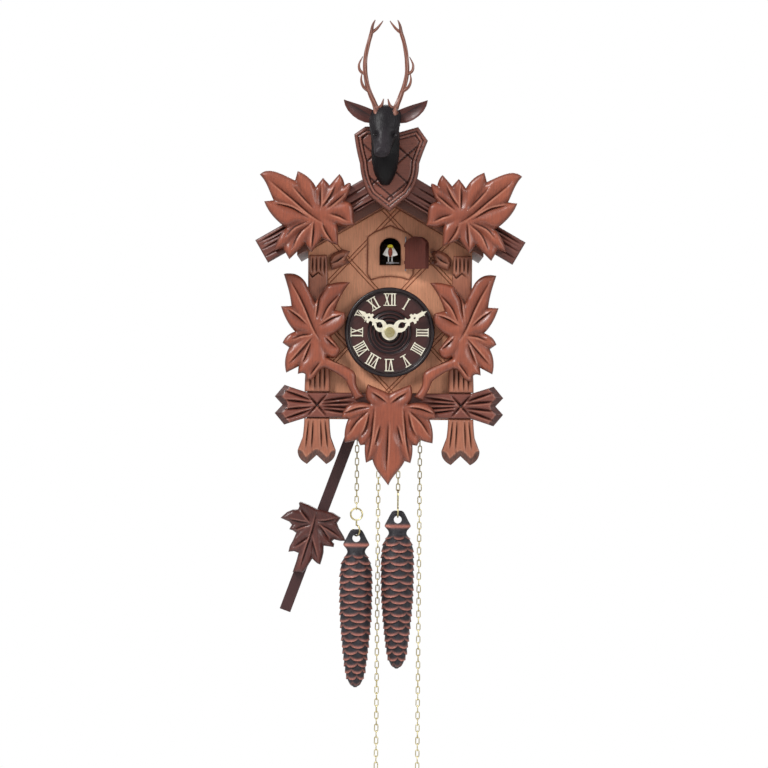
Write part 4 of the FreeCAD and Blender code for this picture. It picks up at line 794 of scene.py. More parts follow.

# %% [markdown]
# ### The bob
# The pendulum's leaf is carved like the others and darker towards its stem. A small strap behind
# it grips the rod by friction, so that the leaf can be slid to regulate the clock.

# %% Bob
LEAN = math.radians(20.2)
PIVOT_Z = -80.0
BOB_BOARD = 8.0
STRAP_HALF, ROD_HALF, STRAP_TOP, STRAP_BOTTOM = 6.0, 4.9, -154.0, -166.0
BOB_OUTLINE = [
    (-71, -215.5), (-69.5, -214.5), (-63, -217), (-57, -220), (-48.5, -222), (-44, -223), (-37.5, -227), (-40.5, -231.5),
    (-39, -235.5), (-35, -242), (-33.5, -245.5), (-38, -245.5), (-42.5, -244.5), (-44.5, -246), (-42.5, -248),
    (-43, -250.5), (-46.5, -250), (-51, -249.5), (-51, -255), (-52, -259.5), (-53.5, -264.5), (-56, -263.5),
    (-60, -260), (-64, -266.5), (-67.5, -271), (-75.5, -270.5), (-72.5, -261.5), (-71, -255.5), (-74.5, -254),
    (-79, -254.5), (-78, -250), (-75.5, -245.5), (-73, -239.5), (-75.5, -237.5), (-78.5, -236.5), (-76.5, -233),
    (-78.5, -230.5), (-85.5, -227.5), (-80.5, -223), (-76, -221), (-71.5, -220.5), (-70.5, -218)]
BOB_VEINS = [
    ([(-70, -219.5), (-66, -225), (-61, -231)], 1), ([(-79, -228.5), (-70, -230.5), (-62, -231.5)], -1),
    ([(-74.5, -236.5), (-68, -234), (-61.5, -232.5)], 1), ([(-75, -250.5), (-68, -246), (-61.5, -241)], 1),
    ([(-56.5, -224), (-60, -237.5), (-65, -253), (-69, -267)], 1), ([(-61, -242), (-59, -250), (-56, -260)], -1),
    ([(-56, -231.5), (-51.5, -237.5), (-46.5, -245)], -1), ([(-56, -231), (-47.5, -235.5), (-37.5, -242)], 1),
    ([(-56.5, -230), (-49.5, -230), (-41.5, -228)], -1)]


def leaned(points):
    """Points of the upright pendulum turned about its pivot to the lean at rest."""
    points = np.asarray(points, float)
    c, s = math.cos(LEAN), math.sin(LEAN)
    return np.stack([c * points[:, 0] + s * points[:, 2], points[:, 1],
                     PIVOT_Z - s * points[:, 0] + c * points[:, 2]], axis=1)


def make_bob():
    """The leaf and its strap in one piece."""
    low, high = mm_box("pendulum_bob")
    outline = np.array(BOB_OUTLINE[::-1])
    lines = [(smooth_line(line), lean) for line, lean in BOB_VEINS]
    cut = leaf_cut(lines, np.array((-59.0, -232.0)), corners_of(outline, inner=True), gouge=2.0, drop=3.0,
                   hollow=1.8)
    points, faces, painted = carve_board([outline], low[1], low[1] + BOB_BOARD, cut,
                                         [line for line, _ in lines], 0.8, 0.6)
    from_stem = np.clip((points[:, 2] + 262) / 40, 0, 1) * 0.45
    painted["stain_and_shade"] = np.maximum(painted["stain_and_shade"], from_stem)
    front, back = low[1] + BOB_BOARD, high[1]
    profile = [(-STRAP_HALF, front), (-STRAP_HALF, back), (STRAP_HALF, back), (STRAP_HALF, front),
               (ROD_HALF, front), (ROD_HALF, back - 0.8), (-ROD_HALF, back - 0.8), (-ROD_HALF, front)]
    strap = leaned([(x, y, z) for z in (STRAP_TOP, STRAP_BOTTOM) for x, y in profile])
    strap_faces = [[i, (i + 1) % 8, 8 + (i + 1) % 8, 8 + i] for i in range(8)]
    strap_faces += [[0, 7, 6, 1], [1, 6, 5, 2], [2, 5, 4, 3], [8, 9, 14, 15], [9, 10, 13, 14], [10, 11, 12, 13]]
    count = len(points)
    points, faces = joined([(points, faces), (strap, strap_faces)])
    painted = {label: np.concatenate([values, np.full(len(points) - count, 0.5 if label == "stain_and_shade" else 0)])
               for label, values in painted.items()}
    piece("pendulum_bob_carved", points, faces, FINISH["bob_wood"], "bob", ["pendulum_bob"],
          painted, math.radians(50))


make_bob()

# %% [markdown]
# ### The front board
# The front is a flat board scratched with a lattice of double lines, with a house-shaped field round the
# doorway. The lines are real V cuts in the mesh.

# %% Lattice and doorway field
LATTICE_TOP, LATTICE_PERIOD, LATTICE_SLOPE = 10.0, 67.5, 1.06
DOUBLE_GAP = 1.25
FIELD = [(0, 3.7), (-13, -2), (-17.8, -5.6), (-17.9, -34.5), (-14.8, -38.9), (-8, -36.9), (0, -36.2),
         (8, -36.9), (14.8, -38.9), (17.9, -34.5), (17.8, -5.6), (13, -2)]
DOORWAY_TOP = -6.0


def v_cut(distance, depth, width):
    """Depth of a straight V cut and its darkening, which is stain and painted shade in the cut."""
    share = np.clip(1 - distance / width, 0, 1)
    return depth * share, 0.9 * np.clip(share * 1.5, 0, 1)


def panel_cut(points, edge):
    """The scratched lattice and the field round the doorway."""
    field = np.array(FIELD, float)
    in_field = inside(points, [field])
    depth, stain_and_shade = rounded_edge(edge, 0.8, 0.5), np.zeros(len(points))
    steep = math.hypot(1, LATTICE_SLOPE)
    for slope in (LATTICE_SLOPE, -LATTICE_SLOPE):
        offset = (points[:, 1] - LATTICE_TOP - slope * points[:, 0]) / LATTICE_PERIOD
        nearest = np.abs(offset - np.round(offset)) * LATTICE_PERIOD / steep
        for shift in (-DOUBLE_GAP, DOUBLE_GAP):
            d, dark = v_cut(np.abs(nearest + shift) if shift < 0 else np.abs(nearest - shift), 0.8, 0.55)
            depth = np.maximum(depth, np.where(in_field, 0, d))
            stain_and_shade = np.maximum(stain_and_shade, np.where(in_field, 0, 0.8 * dark))
    around = measure(points, field, np.roll(field, -1, axis=0))[0]
    d, dark = v_cut(around, 1.0, 0.8)
    # Darker in the cuts and at the board's edge: stain and painted shade.
    stain_and_shade = np.maximum(np.maximum(stain_and_shade, dark), 0.5 * np.exp(-(edge / 0.6) ** 2))
    return np.maximum(depth, d), stain_and_shade, 0.15 * in_field


def lattice_lines():
    """The lattice's lines as cuts, so that the mesh has points along them."""
    lines = []
    for step in range(-1, 3):
        for slope in (LATTICE_SLOPE, -LATTICE_SLOPE):
            middle = LATTICE_TOP - step * LATTICE_PERIOD
            for shift in (-DOUBLE_GAP, DOUBLE_GAP):
                rise = shift * math.hypot(1, LATTICE_SLOPE)
                lines.append(np.array([(x, middle + slope * x + rise) for x in np.arange(-63, 63.1, 0.7)]))
    closed = FIELD + FIELD[:1]
    lines.append(resampled(np.array(closed, float), 0.6)[:-1])
    return lines


BESIDE_CUT = (0.55,)
panel = carve("front_panel", panel_cut, lattice_lines(), spacing=1.6)
BESIDE_CUT = (0.35, 0.8, 1.5)
piece("front_board_scratched", panel[0], panel[1], panel_wood, "case", ["front_panel"], panel[2])
print("front board:", len(panel[1]), "faces")

# %% [markdown]
# ### Posts, cross bar and branches
# These are fluted: long gouges side by side, deeper and darker than the lattice. A flute fades out before
# the end of its run, and on the forked ends the flutes spread into each fork.

# %% Flutes
CROSS = (56.0, -137.0)


END_FACET = 4.6


def end_edges(node, across, beyond):
    """The sawn end edges of a board: those that face along X, if across, or else down."""
    starts, ends = [], []
    for loop in front_loops(node):
        for a, b in zip(loop, np.roll(loop, -1, axis=0)):
            run = (b - a) / max(np.linalg.norm(b - a), 1e-9)
            facing = abs(run[1]) if across else run[0]
            place = abs((a + b)[0] / 2) if across else -(a + b)[1] / 2
            if facing > 0.35 and place > beyond:
                starts.append(a)
                ends.append(b)
    return np.array(starts), np.array(ends)


def fluted_cut(flutes, depth=1.5, near=0.75, far=1.5, drop=1.6, base_stain=0.0, sawn=None):
    """The cut function of a fluted board, darkened with stain and painted shade near its edges and in its flutes,
    with painted highlights on the flute lips and past the end facets; its sawn ends get a dark facet.
    """
    def cut(points, edge):
        total = rounded_edge(edge, 1.8, drop)
        # Darker near the edges: stain and painted shade.
        stain_and_shade = base_stain + 0.45 * np.exp(-(edge / 0.9) ** 2)
        highlight_and_rub = np.zeros(len(points))
        if sawn is not None and len(sawn[0]):
            end = measure(points, *sawn)[0]
            total = np.maximum(total, 3.4 * np.clip(1 - end / END_FACET, 0, 1))
            stain_and_shade = np.maximum(stain_and_shade, 0.72 * np.clip((END_FACET - end) / 0.5, 0, 1))
            # A painted highlight just past the end facet.
            highlight_and_rub = 0.5 * np.exp(-((end - END_FACET - 0.3) / 0.35) ** 2)
        for line in flutes:
            d, dark, lip = groove(points, line, depth, near, far)
            total = np.maximum(total, d)
            stain_and_shade = np.maximum(stain_and_shade, dark)
            highlight_and_rub = np.maximum(highlight_and_rub, 0.6 * lip)
        return total, stain_and_shade, highlight_and_rub
    return cut


def straight(a, b):
    """A straight flute from a to b."""
    return smooth_line([a, ((a[0] + b[0]) / 2, (a[1] + b[1]) / 2), b], 0.8)


def fluted(node, flutes, material, **cuts):
    """Replace a board with its fluted self."""
    points, faces, painted = carve(node, fluted_cut(flutes, **cuts), flutes)
    piece(node + "_fluted", points, faces, material, "case", [node], painted)


def post_flutes(side):
    """Flutes above the upper W, below the leaf and down both prongs of the foot."""
    x0 = side * CROSS[0]
    flutes = [straight((x0 + x, -21.5), (x0 + x, -33.5 - (1.5 if i % 2 else 0)))
              for i, x in enumerate((-4.6, -1.6, 1.6, 4.6))]
    flutes += [straight((x0 + x, -104), (x0 + x, -125.5)) for x in (-5.6, -2.0, 2.0, 5.6)]
    flutes += [straight((x0 + x, -148.5), (x0 + 1.35 * x, -171)) for x in (-6.3, -2.9, 2.9, 6.3)]
    w_line = [(x0 - 8.3, -32.5), (x0 - 4.5, -37.5), (x0, -33.8), (x0 + 4.5, -37.5), (x0 + 8.3, -32.5)]
    return flutes + [resampled(np.array(w_line), 0.6)[:30]]


def bar_flutes():
    """Flutes along each arm, gathered at the crossings and spread into the forks."""
    flutes = []
    for side in (-1, 1):
        x0 = side * CROSS[0]
        for z, spread in ((-6.4, 1.75), (-2.9, 1.3), (2.9, 1.3), (6.4, 1.75)):
            flutes.append(straight((x0 + side * 4.0, CROSS[1] + 0.55 * z),
                                   (x0 + side * 26.0, CROSS[1] + spread * z)))
        for z in (-6.4, -2.2, 2.2, 6.4):
            flutes.append(straight((x0 - side * 4.0, CROSS[1] + 0.5 * z), (x0 - side * 28.0, CROSS[1] + z)))
        flutes += [straight((x0 - 7.5, CROSS[1] + s * 8.5), (x0 + 7.5, CROSS[1] - s * 8.5)) for s in (-1, 1)]
    return flutes


ROOF_SLOPE = math.tan(math.radians(30))


def branch_flutes(side):
    """Long splits in the bark of a branch, staggered along it."""
    flutes = []
    for row, (start, stop) in enumerate(((8, 40), (22, 99), (14, 60), (40, 100), (18, 97), (60, 101))):
        rise = 2.2 + 3.4 * row
        flutes.append(straight((side * start, 27 - start * ROOF_SLOPE + rise),
                               (side * stop, 27 - stop * ROOF_SLOPE + rise)))
    return flutes


for hand, side in (("left", -1), ("right", 1)):
    fluted("post_" + hand, post_flutes(side), FINISH["post_wood"], sawn=end_edges("post_" + hand, False, 165))
    fluted("branch_" + hand, branch_flutes(side), log_wood, depth=2.2, near=0.9, far=2.2, base_stain=0.1)
fluted("cross_bar", bar_flutes(), bar_wood, depth=2.6, near=1.1, far=2.3,
       sawn=end_edges("cross_bar", True, 78))
print("fluted pieces:", len(made))

# %% [markdown]
# ### Twigs under the roof
# A small carved twig with a lens cut fills the corner between each post and the roof.

# %% Twigs
TWIG = [(-31.3, -17), (-34.7, -23.7), (-31.3, -25.7), (-41.4, -30.5), (-45.4, -31.8), (-47.2, -27.5),
        (-46.9, -21.5), (-44.1, -18.5), (-37.4, -15.5)]
TWIG_CUT = [(-46, -26.5), (-41, -24.5), (-36, -20.5)]
PANEL_FRONT = mm_box("front_panel")[0][1]
TWIG_THICK = 6.0

for hand, side in (("left", 1), ("right", -1)):
    twig = np.array([(side * x, z) for x, z in TWIG][::side])
    twig_line = smooth_line([(side * x, z) for x, z in TWIG_CUT])
    twig_cut = leaf_cut([(twig_line, side)], np.array((side * -40.0, -23.5)), [], gouge=2.2, round_width=3.4,
                        drop=2.6)
    points, faces, painted = carve_board([twig], PANEL_FRONT - TWIG_THICK, PANEL_FRONT, twig_cut, [twig_line],
                                         0.8, 0.6)
    piece("twig_" + hand, points, faces, FINISH["post_wood"], "case", (), painted)
print("twigs done")

# %% [markdown]
# ### The shield
# A moulding runs round the shield a little inside its edge, and a lattice of single cuts fills the field.

# %% Shield
def shield_cut(points, edge):
    """A raised border between two cuts, and a lattice inside it; the cuts and edge are darkened with stain and
    painted shade, and the border gets a painted highlight.
    """
    depth = rounded_edge(edge, 2.0, 1.8)
    stain_and_shade = 0.55 * np.exp(-(edge / 1.0) ** 2)
    for place, deep in ((3.1, 0.9), (5.6, 1.4)):
        d, dark = v_cut(np.abs(edge - place), deep, 0.75)
        depth = np.maximum(depth, d)
        stain_and_shade = np.maximum(stain_and_shade, dark)
    depth = depth + 0.8 * np.clip((edge - 5.6) / 0.5, 0, 1)
    for slope in (0.86, -0.86):
        offset = (points[:, 1] - 24.0 - slope * points[:, 0]) / 21.0
        nearest = np.abs(offset - np.round(offset)) * 21.0 / math.hypot(1, 0.86)
        d, dark = v_cut(nearest, 1.1, 0.95)
        depth = depth + np.where(edge > 6, d, 0)
        stain_and_shade = np.maximum(stain_and_shade, np.where(edge > 6, dark, 0))
    # Painted highlight along the raised border.
    highlight_and_rub = 0.7 * np.exp(-((edge - 4.4) / 0.5) ** 2)
    return depth, stain_and_shade, highlight_and_rub


shield = carve("shield", shield_cut, spacing=0.75)
piece("shield_carved", shield[0], shield[1], FINISH["shield_wood"], "case", ["shield"], shield[2])

# %% [markdown]
# ## The dial
# The dial is turned on a lathe: a round rim, a flat band for the numerals and a nest of fine rings. A
# profile spun about the middle gives exactly that, at a fineness that a bump could only suggest. The same
# lathe turns a cup that stops daylight coming in through the hanging hole behind the bird; it is coloured
# fully dark, a painted shade for the inside of the case.

# %% Turned dial
dial_low, dial_high = mm_box("dial")
DIAL_X, DIAL_Z = 0.0, (dial_low[2] + dial_high[2]) / 2
DIAL_RADIUS = (dial_high[0] - dial_low[0]) / 2
DIAL_BACK, DIAL_FRONT = dial_high[1], dial_low[1]
FACE = DIAL_FRONT + 3.0


def dial_profile():
    """Radius, depth and stain from the rim's back to the centre: dark on the rim, and painted shade in the valleys
    between the fine rings.
    """
    rows = [(DIAL_RADIUS, DIAL_BACK, 0.9), (DIAL_RADIUS, DIAL_FRONT + 2.4, 0.9)]
    for angle in np.linspace(0, math.pi, 13):
        rows.append((DIAL_RADIUS - 1.5 + 1.5 * math.cos(angle), DIAL_FRONT + 1.6 - 1.6 * math.sin(angle), 0.95))
    rows += [(DIAL_RADIUS - 3.4, FACE - 0.2, 0.9), (DIAL_RADIUS - 3.9, FACE, 0.5), (DIAL_RADIUS - 6, FACE, 0.1)]
    for radius in np.linspace(DIAL_RADIUS - 8, 18.2, 8):
        rows.append((radius, FACE, 0.0))
    for radius in np.linspace(17.6, 6.0, 70):
        # Dark in each ring's valley: painted shade.
        ring = math.cos(2 * math.pi * (17.6 - radius) / 2.9)
        rows.append((radius, FACE - 0.15 - 0.45 * ring, 0.65 - 0.55 * ring))
    return rows + [(3.5, FACE, 0.6), (3.5, DIAL_BACK, 0.6)]


def lathe(profile, centre, around=160):
    """Spin a (radius, depth, stain and shade) profile about an axis along Y."""
    angles = np.linspace(0, 2 * math.pi, around, endpoint=False)
    points = [(centre[0] + radius * math.cos(a), depth, centre[1] + radius * math.sin(a))
              for radius, depth, _ in profile for a in angles]
    stain_and_shade = [value for _, _, value in profile for _ in angles]
    faces = grid_faces(len(profile), around)
    return points, [face[::-1] for face in faces], {"stain_and_shade": stain_and_shade, "highlight_and_rub": [0] * len(stain_and_shade)}


# A cup coloured fully dark: painted shade inside the case behind the doorway.
SHADE_CUP = [(8.0, -6.0, 1), (8.0, -11.6, 1), (7.6, -12.6, 1), (6.6, -13.0, 1), (0.3, -13.0, 1), (0.3, -12.2, 1),
       (6.4, -12.2, 1), (7.2, -11.4, 1), (7.2, -6.0, 1)]
cup = lathe(SHADE_CUP, (0.0, 0.0), 48)
piece("shade_cup", cup[0], cup[1], FINISH["door_wood"], "case", (), cup[2])

dial = lathe(dial_profile(), (DIAL_X, DIAL_Z))
piece("dial_turned", dial[0], dial[1], FINISH["dial_wood"], "case", ["dial"], dial[2])

# %% [markdown]
# ### Hands
# Each hand is pressed from a thin plate: a ring, a heart-shaped window between two curling arms, a barbed
# neck, a pierced boss and a tip. Half of the outline is drawn and mirrored, the windows are cut out of the
# triangulated plate, and the edges get a small bevel.

# %% Fretted hands
HAND_HALF = [(3.3, 5.0), (4.6, 7.4), (4.7, 10.0), (3.4, 12.6), (2.6, 13.8), (3.6, 14.8), (1.5, 16.0),
             (1.4, 18.0), (2.3, 18.6), (3.9, 18.4), (4.1, 20.0), (2.6, 20.9), (3.2, 22.0), (2.0, 23.0),
             (1.3, 24.0), (1.7, 25.6), (1.0, 28.0)]
HEART = [(0, 6.9), (1.6, 8.3), (2.5, 10.4), (1.6, 12.0), (0.6, 12.6), (0, 14.2)]
BOSS_Z, BOSS_HOLE = 20.6, 0.85


def hand_outline(scale, tip):
    """The outline up one side and down the other, with the ring closed below it."""
    right = [(x, z * scale) for x, z in HAND_HALF] + [(0, tip)]
    left = [(-x, z) for x, z in reversed(right[:-1])]
    ring = 6.2
    begin = math.atan2(right[0][1], right[0][0])
    arc = [(ring * math.cos(a), ring * math.sin(a))
           for a in np.linspace(math.pi - begin, 2 * math.pi + begin, 40)[1:-1]]
    return np.array(right + left + arc)


def hand_windows(scale):
    """The heart and the hole in the boss."""
    right = [(x, z * scale) for x, z in HEART]
    heart = np.array(right + [(-x, z) for x, z in reversed(right[1:-1])])
    boss = np.array([(BOSS_HOLE * math.cos(a), BOSS_Z * scale + BOSS_HOLE * math.sin(a))
                     for a in np.linspace(0, 2 * math.pi, 16, endpoint=False)])
    return [heart, boss]


def fretted_hand(node, scale, tip, degrees, body):
    """A pierced plate as thick as the CAD hand, with softened edges."""
    low, high = mm_box(node)
    loops = [resampled(hand_outline(scale, tip), 0.5)] + [resampled(w, 0.4)[::-1] for w in hand_windows(scale)]
    rim = np.vstack(loops)
    firsts = np.cumsum([0] + [len(loop) for loop in loops])
    edges = [(f + i, f + (i + 1) % len(loop)) for f, loop in zip(firsts, loops) for i in range(len(loop))]
    flat, _, triangles, _, _, _ = delaunay_2d_cdt([Vector(p) for p in rim], edges, [], 0, 1e-5)
    flat = np.array([tuple(p) for p in flat])
    triangles = np.array(triangles)
    triangles = triangles[inside(flat[triangles].mean(axis=1), loops)]
    turned = np.stack([flat[:, 0] * math.cos(degrees) + flat[:, 1] * math.sin(degrees),
                       flat[:, 1] * math.cos(degrees) - flat[:, 0] * math.sin(degrees)], axis=1)
    count = len(turned)
    front = np.stack([turned[:, 0], np.full(count, low[1]), turned[:, 1] + DIAL_Z], axis=1)
    rear = front + [0, high[1] - low[1], 0]
    used = {(a, b) for t in triangles for a, b in zip(t, np.roll(t, -1))}
    border = [(a, b) for a, b in used if (b, a) not in used]
    faces = [list(t) for t in triangles] + [[t[2] + count, t[1] + count, t[0] + count] for t in triangles]
    faces += [[b, a, a + count, b + count] for a, b in border]
    hand = piece(node + "_fretted", np.vstack([front, rear]), faces, FINISH["ivory_plastic"], body,
                 [node])
    bevel = hand.modifiers.new("soft_edge", "BEVEL")
    bevel.width = 0.14 * MM
    bevel.segments = 2
    bevel.limit_method = "ANGLE"


fretted_hand("hour_hand", 0.96, 29.7, math.radians(305), "hour_hand_body")
fretted_hand("minute_hand", 1.08, 33.5, math.radians(60), "minute_hand_body")
print("hands done")

# %% [markdown]
# ## Cone weights
# The cast weights imitate fir cones: rows of overlapping scales, each with a raised lip at its lower edge.
# Modelling each scale apart would leave gaps between them. A round body is sampled finely instead, and its
# radius at every point is the highest of the scales that lie over it.

# %% Fir cones
SCALES_ROUND = 5
ROW_HEIGHT = 5.05
LIP = 2.1
LIP_SAG = 5.2
CONE_PROFILE = [(-10.5, 6.9), (-13.5, 7.6), (-17.0, 9.0), (-21.0, 10.6), (-29.0, 11.4), (-45.0, 11.5), (-62.0, 11.1),
                (-80.0, 9.6), (-95.0, 8.0), (-105.0, 6.6), (-111.0, 5.2), (-115.5, 3.4), (-117.6, 1.2)]


def scale_height(angle, z, top, bottom):
    """Height of the topmost scale at each place, and how near its lip the place is."""
    height, near_lip = np.zeros(len(z)), np.zeros(len(z))
    row = 0
    tip = top - ROW_HEIGHT
    while tip > bottom - ROW_HEIGHT:
        half = math.pi / SCALES_ROUND
        centre = half * (row % 2)
        across = ((angle - centre + half) % (2 * half) - half) / (1.12 * half)
        lip_z = tip + LIP_SAG * (1 - np.sqrt(np.clip(1 - 0.92 * across ** 2, 0, 1)))
        up = (z - lip_z) / (2.2 * ROW_HEIGHT)
        bulge = LIP * np.clip(1 - up, 0, 1) ** 1.3 * np.clip(1.15 - across ** 2, 0, 1)
        bulge = np.where((up >= 0) & (up < 1) & (np.abs(across) < 1), bulge, 0)
        higher = bulge > height
        height = np.maximum(height, bulge)
        rub = np.exp(-((z - lip_z - 0.5) / 1.25) ** 2) * np.clip(1.1 - across ** 2, 0, 1)
        near_lip = np.where(higher, rub, near_lip)
        tip -= ROW_HEIGHT
        row += 1
    return height, near_lip


def cone_body(hole_x, hole_z, depth, phase):
    """The scaled body below the eye, its scales turned by a phase."""
    rows, around = ((440, 180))
    zs = np.linspace(CONE_PROFILE[0][0], CONE_PROFILE[-1][0], rows)
    levels = [z for z, _ in reversed(CONE_PROFILE)]
    radii = np.interp(zs, levels, [r for _, r in reversed(CONE_PROFILE)])
    angles = np.linspace(0, 2 * math.pi, around, endpoint=False)
    angle, z = np.tile(angles, rows), np.repeat(zs, around)
    height, lip = scale_height(angle + phase, z, -10.5, CONE_PROFILE[-1][0] + 2)
    fade = np.clip((-11.5 - z) / 4, 0, 1) * np.clip((z - CONE_PROFILE[-1][0]) / 6, 0.3, 1)
    radius = np.repeat(radii, around) + height * fade
    points = np.stack([hole_x + radius * np.sin(angle), depth - radius * np.cos(angle), hole_z + z], axis=1)
    faces = grid_faces(rows, around)
    faces = [face[::-1] for face in faces] + [list(range(around)), [(rows - 1) * around + i
                                                                    for i in range(around)][::-1]]
    return points, faces, lip * fade


EYE_ROWS = [(7.1, 3.0, 1.6), (6.2, 4.6, 2.0), (3.5, 6.2, 2.2), (0.0, 7.9, 2.3), (-3.0, 9.6, 2.8), (-4.6, 10.3, 3.6),
            (-5.6, 10.3, 4.6), (-7.0, 9.0, 5.2), (-8.6, 7.6, 5.8), (-10.4, 7.0, 6.4), (-12.4, 7.2, 7.0)]


def cone_eye(hole_x, hole_z, depth):
    """The flat eye that widens to a collar and then a neck, made whole; its hole is bored afterwards."""
    around, count = 48, 40
    zs = np.linspace(EYE_ROWS[0][0], EYE_ROWS[-1][0], count)
    levels = [row[0] for row in reversed(EYE_ROWS)]
    wide = np.interp(zs, levels, [row[1] for row in reversed(EYE_ROWS)])
    thick = np.interp(zs, levels, [row[2] for row in reversed(EYE_ROWS)])
    angles = np.linspace(0, 2 * math.pi, around, endpoint=False)
    shape = lambda value: np.sign(value) * np.abs(value) ** 0.75
    points = [(hole_x + w * s, depth - t * c, hole_z + z) for z, w, t in zip(zs, wide, thick)
              for s, c in zip(shape(np.sin(angles)), shape(np.cos(angles)))]
    faces = [face[::-1] for face in grid_faces(count, around)]
    faces += [list(range(around)), [(count - 1) * around + i for i in range(around)][::-1]]
    lip = [math.exp(-((z + 5.2) / 1.2) ** 2) for z in zs for _ in angles]
    return points, faces, lip


def iron_with_copper():
    """Black casting with a copper rub on whatever stands proud."""
    material, tree, shader, place = new_material("rubbed_iron")
    cloud = placed_group(tree, MOTTLE)
    tree.links.new(place, cloud.inputs["Vector"])
    cloud.inputs["Scale"].default_value = 260.0
    lip = tree.nodes.new("ShaderNodeAttribute")
    lip.attribute_name = "highlight_and_rub"
    base = mixed(tree, cloud.outputs["Cloud"], srgb(26, 22, 27), srgb(50, 48, 54))
    broken = maths(tree, "MULTIPLY_ADD", cloud.outputs["Speck"], 0.5)
    broken.node.inputs[2].default_value = 0.6
    rub = maths(tree, "MULTIPLY", lip.outputs["Fac"], broken)
    tree.links.new(mixed(tree, rub, base, srgb(214, 140, 124)), shader.inputs["Base Color"])
    tree.links.new(maths(tree, "MULTIPLY", rub, 0.55), shader.inputs["Metallic"])
    shader.inputs["Roughness"].default_value = 0.42
    shader.inputs["Specular IOR Level"].default_value = 0.35
    add_bump(tree, shader, cloud.outputs["Speck"], 0.00015)
    return material


RUBBED_IRON = iron_with_copper()
EYE_TOP = 7.2
HOLE_RADIUS = 3.1


def cone_weight(hand, body, phase):
    """One weight: eye and scaled body together, the hole bored through."""
    node = "weight_cone_" + hand
    low, high = mm_box(node)
    hole_x, depth, hole_z = (low[0] + high[0]) / 2, (low[1] + high[1]) / 2, high[2] - EYE_TOP
    body_points, body_faces, body_lip = cone_body(hole_x, hole_z, depth, phase)
    eye_points, eye_faces, eye_lip = cone_eye(hole_x, hole_z, depth)
    points, faces = joined([(body_points, body_faces), (eye_points, eye_faces)])
    highlight_and_rub = np.concatenate([body_lip, eye_lip])
    cone = piece(node + "_cast", points, faces, RUBBED_IRON, body, [node],
                 {"highlight_and_rub": highlight_and_rub, "stain_and_shade": np.zeros(len(highlight_and_rub))})
    drill_points, drill_faces = tube([(hole_x, depth + y, hole_z) for y in (-9, -4, 0, 4, 9)], HOLE_RADIUS, 32)
    drill_mesh = bpy.data.meshes.new("drill")
    drill_mesh.from_pydata((drill_points * MM).tolist(), [], drill_faces)
    drill = bpy.data.objects.new("drill", drill_mesh)
    bpy.context.scene.collection.objects.link(drill)
    bored = cone.modifiers.new("eye_hole", "BOOLEAN")
    bored.operation = "DIFFERENCE"
    bored.object = drill
    bored.solver = "EXACT"
    bored.use_self = True
    graph = bpy.context.evaluated_depsgraph_get()
    solid = bpy.data.meshes.new_from_object(cone.evaluated_get(graph))
    cone.modifiers.clear()
    cone.data = solid
    bpy.data.objects.remove(drill)


cone_weight("left", "going_weight", -0.22)
cone_weight("right", "strike_weight", -0.12)
print("cone weights done")

# %% [markdown]
# ## Chains
# A clock chain is made of bent wire links, each turned a quarter from the last. One link is swept as a
# tube round a long ring, and copied at the pitch of the CAD links.

# %% Links, hooks and rings
PITCH, WIRE, LINK_WIDE = 5.0, 0.38, 3.5
LINK_TALL = PITCH + 1.7


def closed_tube(line, radius, around=8):
    """A tube round a closed line."""
    line = np.asarray(line, float)
    ahead = np.roll(line, -1, axis=0) - np.roll(line, 1, axis=0)
    ahead /= np.linalg.norm(ahead, axis=1)[:, None]
    fixed = np.cross(line[1] - line[0], line[len(line) // 3] - line[0])
    fixed /= np.linalg.norm(fixed)
    angles = np.linspace(0, 2 * math.pi, around, endpoint=False)
    rings = [c + radius * (np.cos(angles)[:, None] * fixed + np.sin(angles)[:, None] * np.cross(f, fixed))
             for c, f in zip(line, ahead)]
    count = len(line)
    faces = [[i * around + k, i * around + (k + 1) % around, ((i + 1) % count) * around + (k + 1) % around,
              ((i + 1) % count) * around + k] for i in range(count) for k in range(around)]
    return np.vstack(rings), faces


def one_link():
    """A link facing the viewer, about the origin."""
    bend = LINK_WIDE / 2 - WIRE
    straight_part = LINK_TALL / 2 - WIRE - bend
    line = [(bend * math.cos(a), 0, (straight_part if a < math.pi else -straight_part) + bend * math.sin(a))
            for a in np.concatenate([np.linspace(0, math.pi, 9), np.linspace(math.pi, 2 * math.pi, 9)])
            + np.concatenate([np.zeros(9), np.full(9, 1e-6)])]
    return closed_tube(line, WIRE)


def turned(points, degrees):
    """Points turned about the upright axis."""
    c, s = math.cos(math.radians(degrees)), math.sin(math.radians(degrees))
    return np.asarray(points) @ np.array([[c, s, 0], [-s, c, 0], [0, 0, 1]])


def ring_line(radius, count=40):
    """A circle facing the viewer."""
    return [(radius * math.cos(a), 0, radius * math.sin(a)) for a in np.linspace(0, 2 * math.pi, count,
                                                                                endpoint=False)]


rng = np.random.default_rng(7)


def links(x, y, top, count):
    """A hanging run of links, every other one edge on, each a little out of true."""
    points, faces = one_link()
    parts = []
    for i in range(count):
        turn_degrees = (0 if i % 2 else 90) + rng.normal(0, 4)
        parts.append((turned(points, turn_degrees) + [x, y, top - LINK_TALL / 2 - i * PITCH], faces))
    return parts


HOOK_RING, HOOK_WIRE, HOOK_LOOP = 4.6, 0.65, 4.2


